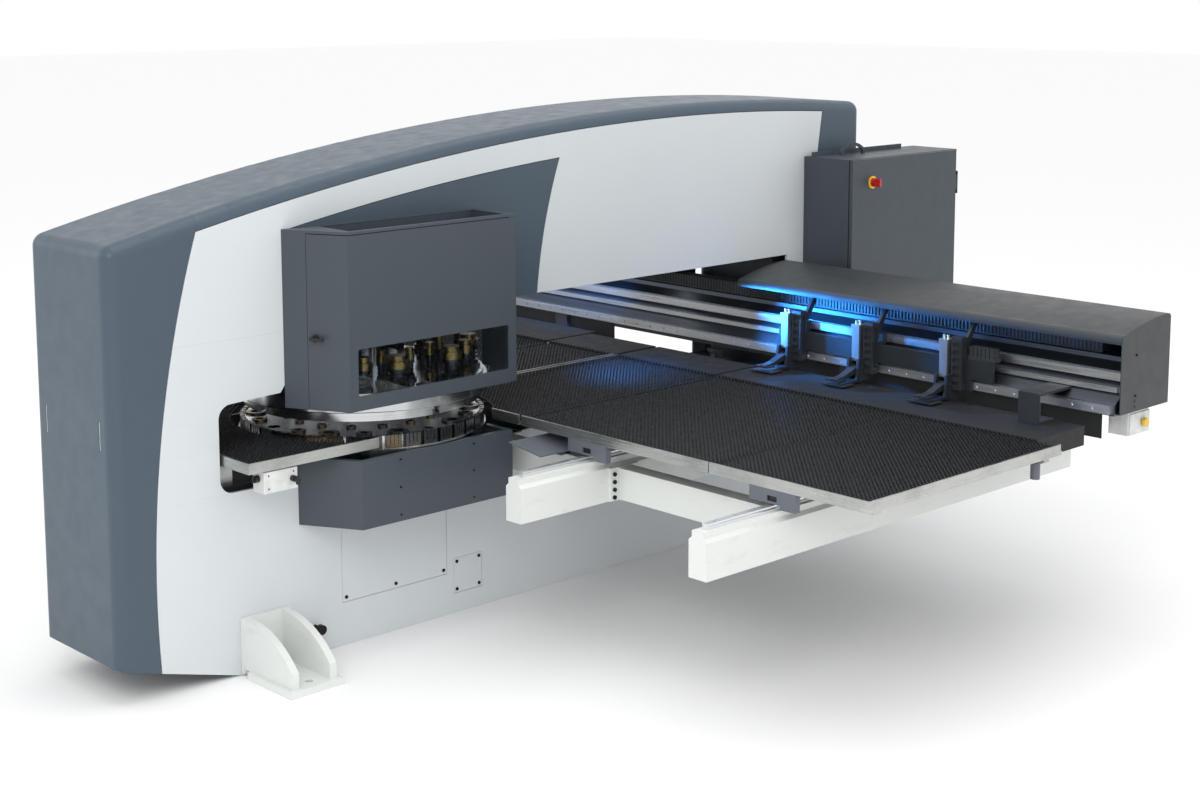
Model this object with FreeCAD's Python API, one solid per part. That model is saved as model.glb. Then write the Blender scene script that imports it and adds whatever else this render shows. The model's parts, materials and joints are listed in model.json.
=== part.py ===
"""CNC turret punch press with an O-shaped frame and travelling brush tables.

Frame of reference: millimetres, +Z up, floor at Z = 0.  The origin is on the floor
straight below the punching axis.  +X points to the right-hand tables, +Y to the
rear column, so the sheet travels over the tables in X and Y.
"""
import FreeCAD, Part
import math
import os

V = FreeCAD.Vector

# ---------------------------------------------------------------- driving dimensions
BODY_HALF = 310.0            # half thickness of the covered body
FRONT_Y = -1900.0            # front end of the body
REAR_Y = 2660.0              # rear end of the body
CREST_Y = 1450.0             # highest place of the arched top
CREST_Z = 2243.0
CREST_R = 13900.0            # radius of the arched top
NOSE_LIFT = 155.0            # the skirt rises this far at the front end
NOSE_RUN = 555.0             # length of that rise
EDGE_R = 55.0                # rounding of the covers' long edges
SKIN = 15.0                  # folded cover depth
GAP = 3.0                    # seam between covers

FRAME_HALF = 220.0           # half thickness of the steel frame
PLATE = 40.0                 # frame side plates
FAR = 5000.0                 # beyond every face: reach of cutting tools
THROAT_FRONT = -1440.0
THROAT_REAR = 2050.0
THROAT_FLOOR = 780.0
THROAT_ROOF = 1410.0
THROAT_STEP = 1160.0         # the covers' window is lower in front of the turret
COLUMN_JOINTS = (965.0, 1095.0, 1150.0)   # joints of the side panel's front column

TURRET_Y = -475.0            # turret axis, on the body's centre plane
TURRET_R = 560.0
UPPER_Z = (1045.0, 1125.0)
LOWER_Z = (850.0, 935.0)
LOWER_R = 552.0              # flange of the lower turret
LOWER_DISC_R = 522.0
STATION_R = 475.0            # outer ring of tool stations: passes through the punching axis
STATIONS = 20
INNER_R = 345.0              # inner ring of small stations
INNER_STATIONS = 16
SHAFT_R = 60.0
BEARING_R = 89.0
SHEET_Z = 946.0              # pass line: the underside of the sheet

TABLE_FRONT = -70.0
TABLE_REAR = 1200.0
TABLE_INNER = 620.0          # travelling tables start here
TABLE_OUTER = 2560.0
TABLE_SEAM = 1750.0
TABLE_DEPTH = 46.0
BRISTLE_BED = 18.0           # brush boards lie this far below the pass line
SMALL_FRONT = -1420.0
SMALL_REAR = -764.0
SMALL_HALF = 505.0

BEAM_X = (1035.0, 2080.0)    # centre lines of the two beams on each side
BEAM_W = 92.0
BEAM_Z = (630.0, 800.0)
BEAM_FRONT = -480.0
BEAM_REAR = 1960.0
RAIL_TOP = 838.0
CROSS_Y = (105.0, 1500.0)
CROSS_HALF = 40.0
FLANGE = 14.0
BOLT_R = 6.0

CAR_FRONT = 1650.0           # carriage hood, at the rear end of its travel
CAR_REAR = 2045.0
CAR_HALF = 2555.0
HOOD_TOP_FRONT = 1337.0
HOOD_TOP_REAR = 1392.0
HOOD_BOTTOM = 990.0
HOOD_LIP = 1297.0
HOOD_INNER = 335.0

UPPER_GUARD = {"y0": -1100.0, "yc": -963.0, "y1": -60.0, "z0": 1094.0, "z1": 1840.0, "x": 582.0}
LOWER_GUARD = {"y0": -1045.0, "yc": -900.0, "y1": -77.0, "z0": 582.0, "z1": 875.0, "x": 566.0}
SHEET = 4.0                  # folded sheet thickness of guards and hoods
SHAFT_GAP = 0.05             # radial clearance of running fits

CABINET = {"x0": 314.0, "x1": 638.0, "y0": 2190.0, "y1": 3120.0, "z0": 760.0, "z1": 1925.0}
CLAMP_X = (745.0, 1190.0, 1700.0)
CLAMP_TIP_Y = 1380.0


# ---------------------------------------------------------------- small shape helpers
def box(x0, x1, y0, y1, z0, z1):
    return Part.makeBox(x1 - x0, y1 - y0, z1 - z0, V(x0, y0, z0))


def cyl(x, y, z0, z1, radius):
    return Part.makeCylinder(radius, z1 - z0, V(x, y, z0), V(0, 0, 1))


def cyl_x(x0, x1, y, z, radius):
    return Part.makeCylinder(radius, x1 - x0, V(x0, y, z), V(1, 0, 0))


def cyl_y(x, y0, y1, z, radius):
    return Part.makeCylinder(radius, y1 - y0, V(x, y0, z), V(0, 1, 0))


def ring(x, y, z0, z1, outer, inner):
    return cyl(x, y, z0, z1, outer).cut(cyl(x, y, z0 - 1, z1 + 1, inner))


def outline(points, place):
    """Closed wire through points; place turns two outline numbers into a vector.

    A point may be (a, b) for a straight run or (a, b, "via") for the middle of an arc.
    """
    loop = list(points) + [points[0]]
    edges = []
    start = place(*loop[0][:2])
    i = 1
    while i < len(loop):
        if len(loop[i]) == 3:
            end = place(*loop[i + 1][:2])
            edges.append(Part.Arc(start, place(*loop[i][:2]), end).toShape())
            i += 2
        else:
            end = place(*loop[i][:2])
            edges.append(Part.makeLine(start, end))
            i += 1
        start = end
    return Part.Wire(edges)


def prism_x(points, x0, x1):
    """Extrude a (y, z) outline from x0 to x1."""
    face = Part.Face(outline(points, lambda y, z: V(x0, y, z)))
    return face.extrude(V(x1 - x0, 0, 0))


def prism_y(points, y0, y1):
    """Extrude an (x, z) outline from y0 to y1."""
    face = Part.Face(outline(points, lambda x, z: V(x, y0, z)))
    return face.extrude(V(0, y1 - y0, 0))


def prism_z(points, z0, z1):
    """Extrude an (x, y) outline from z0 to z1."""
    face = Part.Face(outline(points, lambda x, y: V(x, y, z0)))
    return face.extrude(V(0, 0, z1 - z0))


def fuse(shapes):
    result = shapes[0]
    for shape in shapes[1:]:
        result = result.fuse(shape)
    return result.removeSplitter()


def cut(base, tools):
    for tool in tools:
        base = base.cut(tool)
    return base


def mirrored(shape):
    return shape.mirror(V(0, 0, 0), V(1, 0, 0))


def on_side(shape, side):
    """Shapes are drawn on the right; the left ones are their mirror image."""
    return shape if side == "right" else mirrored(shape)


def group(shapes):
    return Part.makeCompound(shapes)


def rounded(shape, radius, chosen):
    """Round the edges that chosen accepts."""
    return shape.makeFillet(radius, [edge for edge in shape.Edges if chosen(edge)])


def along_x(edge):
    return abs(edge.tangentAt(edge.FirstParameter).x) > 0.9


def along_z(edge):
    return abs(edge.tangentAt(edge.FirstParameter).z) > 0.9


def bolt(x, y, z, axis, radius, head, length):
    """Hexagon-head bolt: its head stands out along axis from the point, its shank goes back."""
    shank = Part.makeCylinder(radius, length, V(x, y, z) - axis * length, axis)
    corners = []
    flat = V(0, 0, 1) if abs(axis.z) < 0.5 else V(1, 0, 0)
    across = axis.cross(flat)
    for i in range(6):
        turn = math.radians(60 * i)
        corners.append(V(x, y, z) + flat * (head * math.cos(turn)) + across * (head * math.sin(turn)))
    hexagon = Part.Face(Part.makePolygon(corners + [corners[0]])).extrude(axis * (head * 0.75))
    return shank.fuse(hexagon).removeSplitter()


def crest(y, below=0.0):
    """Height of the arched top at y, or of a line that runs below it."""
    radius = CREST_R - below
    return CREST_Z - CREST_R + math.sqrt(radius ** 2 - (y - CREST_Y) ** 2)


def arc_top(y0, y1, below=0.0):
    """Outline points of the arched top from y0 to y1."""
    middle = (y0 + y1) / 2
    return [(y0, crest(y0, below)), (middle, crest(middle, below), "via"), (y1, crest(y1, below))]


# ---------------------------------------------------------------- frame and covers
def body_outline(inset):
    """Side view of the covered body, drawn in by inset on the front, top and rear."""
    front, rear = FRONT_Y + inset, REAR_Y - inset
    return [(FRONT_Y + NOSE_RUN, 0), (front, NOSE_LIFT)] + arc_top(front, rear, inset) + [(rear, 0)]


def main_frame():
    """Welded O-frame: two side plates joined by edge plates and webs."""
    inset = 70.0
    solid = prism_x(body_outline(inset), -FRAME_HALF, FRAME_HALF)
    opening = box(-400, 400, THROAT_FRONT, THROAT_REAR, THROAT_FLOOR, THROAT_ROOF)
    solid = solid.cut(rounded(opening, 30, along_x))
    inner = FRAME_HALF - PLATE
    wall = 50.0
    rooms = [
        (FRONT_Y + inset + wall, THROAT_FRONT - wall, 250, 1650),
        (-1300, -720, 200, THROAT_FLOOR - 120),
        (-680, 560, 60, 640),
        (600, THROAT_REAR - wall, 60, THROAT_FLOOR - 120),
        (-1300, -300, THROAT_ROOF + wall, 1850),
        (300, 1100, THROAT_ROOF + wall, 2050),
        (1150, THROAT_REAR, THROAT_ROOF + wall, 2050),
        (THROAT_REAR + wall + 50, REAR_Y - inset - wall, 60, 2050),
    ]
    solid = cut(solid, [box(-inner, inner, *room) for room in rooms])
    windows = [
        (-1250, -850, 320, 560), (-400, 0, 200, 500), (900, 1300, 200, 500), (1450, 1850, 200, 500),
        (2200, 2450, 600, 1000), (500, 900, 1600, 1900), (1350, 1750, 1600, 1900),
        (-1000, -600, 1550, 1750), (-1740, -1560, 700, 1100),
    ]
    solid = cut(solid, [box(-400, 400, *window) for window in windows])
    solid = cut(solid, [
        cyl(0, 0, THROAT_ROOF - 5, 2400, 121),
        cyl(0, 0, 500, THROAT_FLOOR + 5, 60),
        cyl(0, TURRET_Y, THROAT_ROOF - 10, THROAT_ROOF + wall + 10, 90),
        cyl(0, TURRET_Y, 600, THROAT_FLOOR + 10, 90),
    ])
    return split_at_throat(fuse([solid] + cover_lugs()), THROAT_ROOF)


def split_at_throat(shape, roof, joints=()):
    """Sections below and above the throat, the rear column, and the front column cut at its joints."""
    middle = (THROAT_FRONT + THROAT_REAR) / 2
    sections = [box(-FAR, FAR, -FAR, FAR, -FAR, THROAT_FLOOR), box(-FAR, FAR, -FAR, FAR, roof, FAR),
                box(-FAR, FAR, middle, FAR, THROAT_FLOOR, roof)]
    levels = [THROAT_FLOOR, *joints, roof]
    for z0, z1 in zip(levels, levels[1:]):
        sections.append(box(-FAR, FAR, -FAR, middle, z0, z1))
    return group([shape.common(section) for section in sections])


def panel_outline(spread):
    """Light side panel as seen from the side, grown by spread at its seam."""
    top = 58.0 - spread
    left, right = -1500.0 - spread, 2335.0 + spread
    foot_left, foot_right = -1715.0 - spread, 2150.0 + spread
    knee = NOSE_LIFT * (FRONT_Y + NOSE_RUN - foot_left) / NOSE_RUN
    return (
        [(FRONT_Y + NOSE_RUN, 0), (foot_left, knee), (-1655 - spread, 1240, "via")]
        + arc_top(left, right, top)
        + [(2215 + spread, 1240, "via"), (foot_right, 0)]
    )


def throat_outline(y0, y1, z0, z1):
    """Throat window of the covers: lower in front of the turret, arched into its roof."""
    step = THROAT_STEP
    return [
        (y0 + 60, z0), (y0 + 18, z0 + 18, "via"), (y0, z0 + 60), (y0, step - 65),
        (y0 + 18, step - 27, "via"), (y0 + 60, step - 10), (-1120, step), (-1080, step + 55),
        (-1080, z1), (y1, z1), (y1, z0),
    ]


THROAT_WINDOW = throat_outline(-1420.0, 2065.0, THROAT_FLOOR, THROAT_ROOF + 4)
ACCESS_PANELS = ((-830.0, -252.0, 190.0, 560.0), (-213.0, -47.0, 90.0, 255.0))
ACCESS_SCREWS = ((-809.0, 212.0), (-541.0, 212.0), (-272.0, 212.0), (-809.0, 538.0), (-272.0, 538.0),
                 (-195.0, 237.0), (-65.0, 237.0), (-195.0, 108.0), (-65.0, 108.0))


def ram_cover_outline(shrink):
    drop = 175.0 + shrink
    left, right = -1095.0 + shrink, 445.0 - shrink
    return (
        [(left, THROAT_ROOF + 4)] + arc_top(left, right, drop)
        + [(345 - shrink, 1700, "via"), (300 - shrink, THROAT_ROOF + 4)]
    )


SEAM_FRONT = -1495.0
SEAM_REAR = 2330.0
HAIRLINE = 0.6


def inner_room():
    """Room inside the covers, rounded along its long edges so the skin keeps its depth."""
    room = prism_x(body_outline(SKIN), SKIN - BODY_HALF, BODY_HALF - SKIN)
    rim = []
    for edge in room.Edges:
        middle = edge.valueAt((edge.FirstParameter + edge.LastParameter) / 2)
        if abs(abs(middle.x) - BODY_HALF + SKIN) < 1 and middle.z > NOSE_LIFT + SKIN:
            rim.append(edge)
    return room.makeFillet(EDGE_R - SKIN, rim)


def in_strips(shape):
    """A cover in three strips: its left side, its middle and its right side."""
    side = BODY_HALF - SKIN
    return group([shape.common(box(x0, x1, -FAR, FAR, -FAR, FAR))
                  for x0, x1 in ((-FAR, -side), (-side, side), (side, FAR))])


def outer_covers():
    """Front, top and rear covers: one rounded skin cut at its seams."""
    solid = prism_x(body_outline(0), -BODY_HALF, BODY_HALF)
    rim = []
    for edge in solid.Edges:
        middle = edge.valueAt((edge.FirstParameter + edge.LastParameter) / 2)
        if abs(abs(middle.x) - BODY_HALF) < 1 and middle.z > NOSE_LIFT + 1:
            rim.append(edge)
    corners = []
    for edge in solid.Edges:
        middle = edge.valueAt((edge.FirstParameter + edge.LastParameter) / 2)
        if abs(middle.x) < 1 and middle.z > 1000:
            corners.append(edge)
    solid = solid.makeFillet(EDGE_R, rim + corners)
    skin = solid.cut(inner_room())
    floor_cut = prism_x([(FRONT_Y + NOSE_RUN, -5), (FRONT_Y + NOSE_RUN, 0), (REAR_Y - SKIN, 0),
                         (REAR_Y - SKIN, 5), (FRONT_Y + NOSE_RUN + 60, 5), (FRONT_Y + SKIN, NOSE_LIFT + 5),
                         (FRONT_Y + SKIN, NOSE_LIFT - 5)], SKIN - BODY_HALF, BODY_HALF - SKIN)
    skin = skin.cut(floor_cut)
    skin = skin.cut(prism_x(panel_outline(GAP / 2), -BODY_HALF - 10, BODY_HALF + 10)
                    .cut(box(SKIN - BODY_HALF, BODY_HALF - SKIN, -3000, 4000, -10, 3000)))
    front = box(-FAR, FAR, -FAR, SEAM_FRONT, -FAR, FAR)
    top = box(-FAR, FAR, SEAM_FRONT + HAIRLINE, SEAM_REAR - HAIRLINE, -FAR, FAR)
    rear = box(-FAR, FAR, SEAM_REAR, FAR, -FAR, FAR)
    slots = []
    for x in (-212.0, 218.0):
        slots.append(box(x - 4, x + 4, FRONT_Y - 5, FRONT_Y + SKIN + 5, 1030, 1150))
    return [in_strips(shape) for shape in (cut(skin.common(front), slots), skin.common(top), skin.common(rear))]


def side_panel(side):
    slab = prism_x(panel_outline(-GAP / 2), BODY_HALF - SKIN, BODY_HALF)
    tools = [prism_x(THROAT_WINDOW, 200, 400), prism_x(ram_cover_outline(-GAP), 200, 400)]
    for y0, y1, z0, z1 in ACCESS_PANELS:
        tools.append(box(200, 400, y0, y1, z0, z1))
    for y in CROSS_Y:
        tools.append(box(200, 400, y - 98, y + 98, BEAM_Z[0] - 13, THROAT_FLOOR + 1))
    return on_side(split_at_throat(cut(slab, tools), THROAT_ROOF + 4, COLUMN_JOINTS), side)


def ram_cover(side):
    return on_side(prism_x(ram_cover_outline(0), BODY_HALF - SKIN, BODY_HALF + 1), side)


def access_panels(side):
    plates = [box(BODY_HALF - SKIN, BODY_HALF - 1, y0 + GAP / 2, y1 - GAP / 2, z0 + GAP / 2, z1 - GAP / 2)
              for y0, y1, z0, z1 in ACCESS_PANELS]
    return on_side(group(plates), side)


def cover_screws(side):
    """Button heads of the access panels, and the black levelling knob beside the front foot."""
    heads = [cyl_x(BODY_HALF - 1, BODY_HALF + 2, y, z, 8) for y, z in ACCESS_SCREWS]
    knob = fuse([cyl_x(BODY_HALF, BODY_HALF + 36, -976, 118, 11),
                 cyl_x(BODY_HALF + 35, BODY_HALF + 58, -976, 118, 21)])
    return on_side(group(heads + [knob]), side)


def cover_lugs():
    """Welded lugs that carry the covers, and the pads under the cross beams."""
    blocks = [box(FRAME_HALF - 1, BODY_HALF + 2, y - 95, y + 95, BEAM_Z[0] - 10, THROAT_FLOOR) for y in CROSS_Y]
    for y in (-1500, -900, 0, 900, 1800, 2500):
        for z in (60, 600):
            blocks.append(box(FRAME_HALF - 1, BODY_HALF - SKIN, y - 25, y + 25, z, z + 60))
    for y in (-1000, -500, 200, 900, 1850, 2180):
        blocks.append(box(FRAME_HALF - 1, BODY_HALF - SKIN, y - 25, y + 25, 1650, 1710))
    return blocks + [mirrored(block) for block in blocks]


FOOT_ROWS = {"front": -1226.0, "rear": 2320.0}
FOOT_HALF = 128.0
FOOT_IN = 366.0
FOOT_OUT = 682.0
FOOT_PLATE = 30.0
ANCHOR_R = 17.0


def foot(side, row):
    """Anchor foot: a floor plate and two curved gussets welded to a back plate."""
    y = FOOT_ROWS[row]
    plate = box(FOOT_IN, FOOT_OUT, y - FOOT_HALF, y + FOOT_HALF, 0, FOOT_PLATE)
    hole = cyl(FOOT_OUT - 62, y, -5, FOOT_PLATE + 5, ANCHOR_R)
    back = box(BODY_HALF + 1, BODY_HALF + 19, y - FOOT_HALF + 8, y + FOOT_HALF - 8, 10, 246)
    gusset = [(BODY_HALF + 15, 25), (BODY_HALF + 15, 244), (BODY_HALF + 42, 240), (BODY_HALF + 235, 186, "via"),
              (FOOT_OUT - 20, 92), (FOOT_OUT - 20, 25)]
    ribs = [prism_y(gusset, y + offset - 17, y + offset + 17) for offset in (-92, 92)]
    return on_side(fuse([plate, back] + ribs).cut(hole), side)


# ---------------------------------------------------------------- turret
def station_places(radius, count):
    """Centres of the tool stations; the first is on the punching axis."""
    places = []
    for i in range(count):
        turn = math.radians(90 + 360.0 * i / count)
        places.append((radius * math.cos(turn), TURRET_Y + radius * math.sin(turn)))
    return places


EMPTY = (0, 5, 10, 15)       # four open stations, a quarter turn apart
SEAT_GAP = 0.4               # tools sit in their stations with this radial play
GUIDE_DROP = 42.0            # guide plate under the upper turret


def holder_radius(i):
    return (46.0, 34.0)[i % 2]


def upper_turret():
    z0, z1 = UPPER_Z
    disc = cyl(0, TURRET_Y, z0 + 12, z1, TURRET_R - 18)
    rim = rounded(cyl(0, TURRET_Y, z0, z1 - 18, TURRET_R), 4, lambda edge: edge.Length > 10 * TURRET_R / 2)
    plate = cyl(0, TURRET_Y, z0 - GUIDE_DROP, z0 + 13, TURRET_R - 32)
    hub = cyl(0, TURRET_Y, z1 - 1, z1 + 60, 190)
    shaft = cyl(0, TURRET_Y, z0 + 13, THROAT_ROOF + 230, SHAFT_R)
    body = fuse([disc, rim, plate, hub, shaft])
    tools = []
    for i, (x, y) in enumerate(station_places(STATION_R, STATIONS)):
        tools.append(cyl(x, y, z0 - 60, z1 + 5, 56 if i in EMPTY else holder_radius(i) + SEAT_GAP))
    for x, y in station_places(INNER_R, INNER_STATIONS):
        tools.append(cyl(x, y, z0 - 60, z1 + 5, 22 + SEAT_GAP))
    return cut(body, tools)


def lower_turret():
    z0, z1 = LOWER_Z
    body = fuse([cyl(0, TURRET_Y, z0, z1, LOWER_DISC_R), cyl(0, TURRET_Y, z0, z0 + 36, LOWER_R),
                 cyl(0, TURRET_Y, z0 - 30, z0 + 1, 190), cyl(0, TURRET_Y, 500, z0 + 1, SHAFT_R)])
    tools = []
    for i, (x, y) in enumerate(station_places(STATION_R, STATIONS)):
        tools.append(cyl(x, y, z0 - 5, z1 + 5, holder_radius(i) * 0.62))
        if i not in EMPTY:
            tools.append(cyl(x, y, z1 - 30, z1 + 5, holder_radius(i) + SEAT_GAP))
    for x, y in station_places(INNER_R, INNER_STATIONS):
        tools.append(cyl(x, y, z1 - 30, z1 + 5, 22 + SEAT_GAP))
        tools.append(cyl(x, y, z0 - 5, z1 + 5, 13))
    return cut(body, tools)


def punch_holder(x, y, radius):
    """Guide sleeve, stripping spring collar and striking head of one punch."""
    z0, z1 = UPPER_Z
    return fuse([
        cyl(x, y, z0 + 4, z1 + 30, radius),
        ring(x, y, z1, z1 + 12, radius + 8, radius - 1),
        cyl(x, y, z1 + 29, z1 + 78, radius * 0.74),
        ring(x, y, z1 + 44, z1 + 50, radius * 0.86, radius * 0.7),
        ring(x, y, z1 + 60, z1 + 66, radius * 0.86, radius * 0.7),
        cyl(x, y, z1 + 77, z1 + 122, radius),
        cyl(x, y, z1 + 121, z1 + 146, radius * 0.8),
        cyl(x, y, z0 - 16, z0 + 5, radius * 0.5),
    ])


def punch_holders():
    shapes = []
    for i, (x, y) in enumerate(station_places(STATION_R, STATIONS)):
        if i not in EMPTY:
            shapes.append(punch_holder(x, y, holder_radius(i)))
    shapes += [punch_holder(x, y, 22.0) for x, y in station_places(INNER_R, INNER_STATIONS)]
    return group(shapes)


def dies():
    shapes = []
    z1 = LOWER_Z[1]
    for i, (x, y) in enumerate(station_places(STATION_R, STATIONS)):
        if i not in EMPTY:
            shapes.append(ring(x, y, z1 - 30, z1 + 8, holder_radius(i), holder_radius(i) * 0.52))
    for x, y in station_places(INNER_R, INNER_STATIONS):
        shapes.append(ring(x, y, z1 - 30, z1 + 8, 22, 12))
    return group(shapes + die_keepers())


def die_keepers():
    """Grooved clamp blocks around the lower turret's rim, two beside each outer station."""
    blocks = []
    z0, z1 = LOWER_Z[0] + 36, LOWER_Z[1] + 6
    for i in range(2 * STATIONS):
        block = box(-34, 34, LOWER_DISC_R + 2, LOWER_DISC_R + 22, z0, z1)
        grooves = [box(x - 2.5, x + 2.5, LOWER_DISC_R + 17, LOWER_DISC_R + 30, z0 + 14, z1 + 5)
                   for x in (-17, 0, 17)]
        grooves.append(box(-6, 6, LOWER_DISC_R - 5, LOWER_DISC_R + 14, z1 - 16, z1 + 5))
        block = cut(block, grooves)
        block.rotate(V(0, 0, 0), V(0, 0, 1), 360.0 * (i + 0.5) / (2 * STATIONS))
        block.translate(V(0, TURRET_Y, 0))
        blocks.append(block)
    return blocks


def bearing_housing(z0, z1, flange_z0, flange_z1):
    return fuse([ring(0, TURRET_Y, z0, z1, BEARING_R, SHAFT_R + SHAFT_GAP),
                 ring(0, TURRET_Y, flange_z0, flange_z1, 165, SHAFT_R + SHAFT_GAP)])


def turret_bearings():
    return group([bearing_housing(1386, 1465, 1386, 1409.5), bearing_housing(640, 800, 781, 800)])


# ---------------------------------------------------------------- ram
RAM_R = 55.0


def ram_cylinder():
    return cut(fuse([cyl(0, 0, 1415, 1960, 120), ring(0, 0, 1385, 1409, 160, RAM_R + SHAFT_GAP),
                     cyl(0, 0, 1400, 1420, 120)]),
               [cyl(0, 0, 1380, 1480, RAM_R + SHAFT_GAP), cyl(0, 0, 1479, 1900, 95)])


def ram():
    """Piston rod with its piston, and the striker bolted under it."""
    rod = fuse([cyl(0, 0, 1350, 1700, RAM_R), cyl(0, 0, 1600, 1700, 94.95)])
    return group([rod, cyl(0, 0, 1316, 1350, 50)])


# ---------------------------------------------------------------- guards
def guard_plan(g, inset, far=1.0):
    """Plan of a guard: from the body, along the slanted face, the outer face and back."""
    slope = (g["yc"] - g["y0"]) / (g["x"] - BODY_HALF)
    y_start = g["y0"] + inset * math.hypot(1, slope)
    x_out = g["x"] - inset
    y_corner = y_start + slope * (x_out - BODY_HALF)
    return [(BODY_HALF + far, y_start + slope * far), (x_out, y_corner),
            (x_out, g["y1"] - inset), (BODY_HALF + far, g["y1"] - inset)]


GUARD_SEAM_X = BODY_HALF + 100.0
GUARD_WINDOW = (-920.0, -105.0, 1154.0, 1352.0)
HINGE_X = UPPER_GUARD["x"] - 22.0
HINGE_Y = UPPER_GUARD["y1"] - 16.0
HINGE_CLEAR = 30.0
HINGE_ROWS = (1400.0, 1720.0)


def upper_guard_shell():
    g = UPPER_GUARD
    shell = prism_z(guard_plan(g, 0), g["z0"], g["z1"])
    return shell.cut(prism_z(guard_plan(g, SHEET, -5), g["z0"] - 5, g["z1"] - SHEET))


def door_zone():
    """Space of the swinging part: outer face and most of the slanted face."""
    g = UPPER_GUARD
    seam_y = g["y0"] + (g["yc"] - g["y0"]) * 100.0 / (g["x"] - BODY_HALF)
    return prism_z([(GUARD_SEAM_X, seam_y - 60), (g["x"] + 30, g["yc"] - 120),
                    (g["x"] + 30, g["y1"] + 5), (g["x"] - SHEET - 1, g["y1"] + 5),
                    (g["x"] - SHEET - 1, g["yc"] + 60),
                    (GUARD_SEAM_X, seam_y + 60)], g["z0"] + 3, g["z1"] - 12)


def turret_gap():
    """Room round the turning turret and its punches, cut from the guards' end faces."""
    reach = STATION_R + 62
    return fuse([cyl(0, TURRET_Y, LOWER_Z[0] - 12, UPPER_Z[1] + 12, TURRET_R + 12),
                 cyl(0, TURRET_Y, UPPER_Z[1], UPPER_Z[1] + 205, reach)])


def guard_roof_opening():
    g = UPPER_GUARD
    return box(BODY_HALF + 28, g["x"] - 26, g["yc"] + 30, g["y1"] - 46, g["z1"] - 20, g["z1"] + 5)


def guard_roof_grille():
    """Slotted tray hung below the roof opening, so that the roof looks deep and dark."""
    g = UPPER_GUARD
    x0, x1, y0, y1 = BODY_HALF + 24, g["x"] - 27, g["yc"] + 26, g["y1"] - 42
    z0, z1 = g["z1"] - 56, g["z1"] - SHEET
    tray = box(x0, x1, y0, y1, z0, z1).cut(box(x0 + 3, x1 - 3, y0 + 3, y1 - 3, z0 + 3, z1 + 5))
    slots = [box(x0 + 30, x1 - 30, y0 + 40 + i * 54, y0 + 66 + i * 54, z0 - 5, z0 + 5) for i in range(14)]
    return cut(tray, slots)


def closed_guard():
    """Upper guard of the left side, in one piece."""
    shell = cut(upper_guard_shell(), [guard_roof_opening(), turret_gap()])
    return mirrored(fuse([shell, guard_roof_grille()]))


def turret_guard():
    """Fixed part of the upper guard: slanted strip, roof and end face, with room for the hinge."""
    shell = upper_guard_shell().cut(door_zone())
    g = UPPER_GUARD
    hinge_room = cyl(HINGE_X, HINGE_Y, g["z0"] - 5, g["z1"] - 12, HINGE_CLEAR)
    shell = cut(shell, [guard_roof_opening(), hinge_room, turret_gap()])
    lip = box(BODY_HALF + 1, BODY_HALF + 5, g["y0"] + 12, g["y1"] - 12, g["z1"] - 60, g["z1"] - 3)
    return fuse([shell, lip, guard_roof_grille()])


def guard_door():
    """Swinging part of the upper guard: outer face, most of the slanted face, window frame."""
    g = UPPER_GUARD
    seam_y = g["y0"] + (g["yc"] - g["y0"]) * 100.0 / (g["x"] - BODY_HALF)
    trimmed = door_zone().cut(box(0, GUARD_SEAM_X + 2, seam_y - 100, g["y1"], 0, 3000))
    trimmed = trimmed.cut(box(0, 900, g["y1"] - 3, g["y1"] + 50, 0, 3000))
    trimmed = trimmed.cut(box(0, 900, -3000, 3000, g["z1"] - 15, 3000))
    door = upper_guard_shell().common(trimmed)
    y0, y1, z0, z1 = GUARD_WINDOW
    window = rounded(box(500, 700, y0, y1, z0, z1), 12, along_x)
    frame = box(g["x"] - 10, g["x"] - SHEET, y0 - 22, y1 + 12, z0 - 22, z1 + 22)
    stiffener = box(g["x"] - 24, g["x"] - SHEET, g["yc"] + 40, g["y1"] - 60, 1560, 1580)
    leaves = []
    for z in HINGE_ROWS:
        barrel = cyl(HINGE_X, HINGE_Y, z, z + 70, 12)
        leaf = box(HINGE_X + 8, g["x"] - SHEET, g["y1"] - 60, HINGE_Y + 6, z, z + 70)
        leaves.append(fuse([barrel, leaf]).cut(cyl(HINGE_X, HINGE_Y, z - 5, z + 80, 6 + SHAFT_GAP)))
    return fuse([door, frame, stiffener] + leaves).cut(window)


def guard_hinge_pins():
    """Pins with their fixed knuckles above and below each door barrel."""
    shapes = []
    for z in HINGE_ROWS:
        arms = [fuse([cyl(HINGE_X, HINGE_Y, a, a + 24, 12),
                      box(HINGE_X - 60, HINGE_X, HINGE_Y + 2, HINGE_Y + 12, a, a + 24)])
                for a in (z - 25, z + 71)]
        shapes.append(fuse([cyl(HINGE_X, HINGE_Y, z - 25, z + 95, 6)] + arms))
    return group(shapes)


def guard_window_pane():
    y0, y1, z0, z1 = GUARD_WINDOW
    return box(UPPER_GUARD["x"] - 14, UPPER_GUARD["x"] - 10, y0 - 18, y1 + 10, z0 - 18, z1 + 18)


LATCH_Z = 1395.0


def latch_place():
    """Pivot of the latch on the slanted face and the face's outward normal."""
    g = UPPER_GUARD
    along = V(g["x"] - BODY_HALF, g["yc"] - g["y0"], 0).normalize()
    normal = V(along.y, -along.x, 0)
    start = V(BODY_HALF, g["y0"], LATCH_Z)
    return start + along * 150.0, normal


def guard_latch():
    pivot, normal = latch_place()
    base = Part.makeCylinder(17, 7, pivot + normal * 0.5, normal)
    neck = Part.makeCylinder(9, 16, pivot + normal * 7, normal)
    along = V(-normal.y, normal.x, 0)
    lever = Part.makeBox(62, 14, 9, V(-14, -7, 0))
    lever.Placement = FreeCAD.Placement(pivot + normal * 22, FreeCAD.Rotation(along, V(0, 0, 1), normal, "ZXY"))
    return fuse([base, neck, lever])


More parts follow.
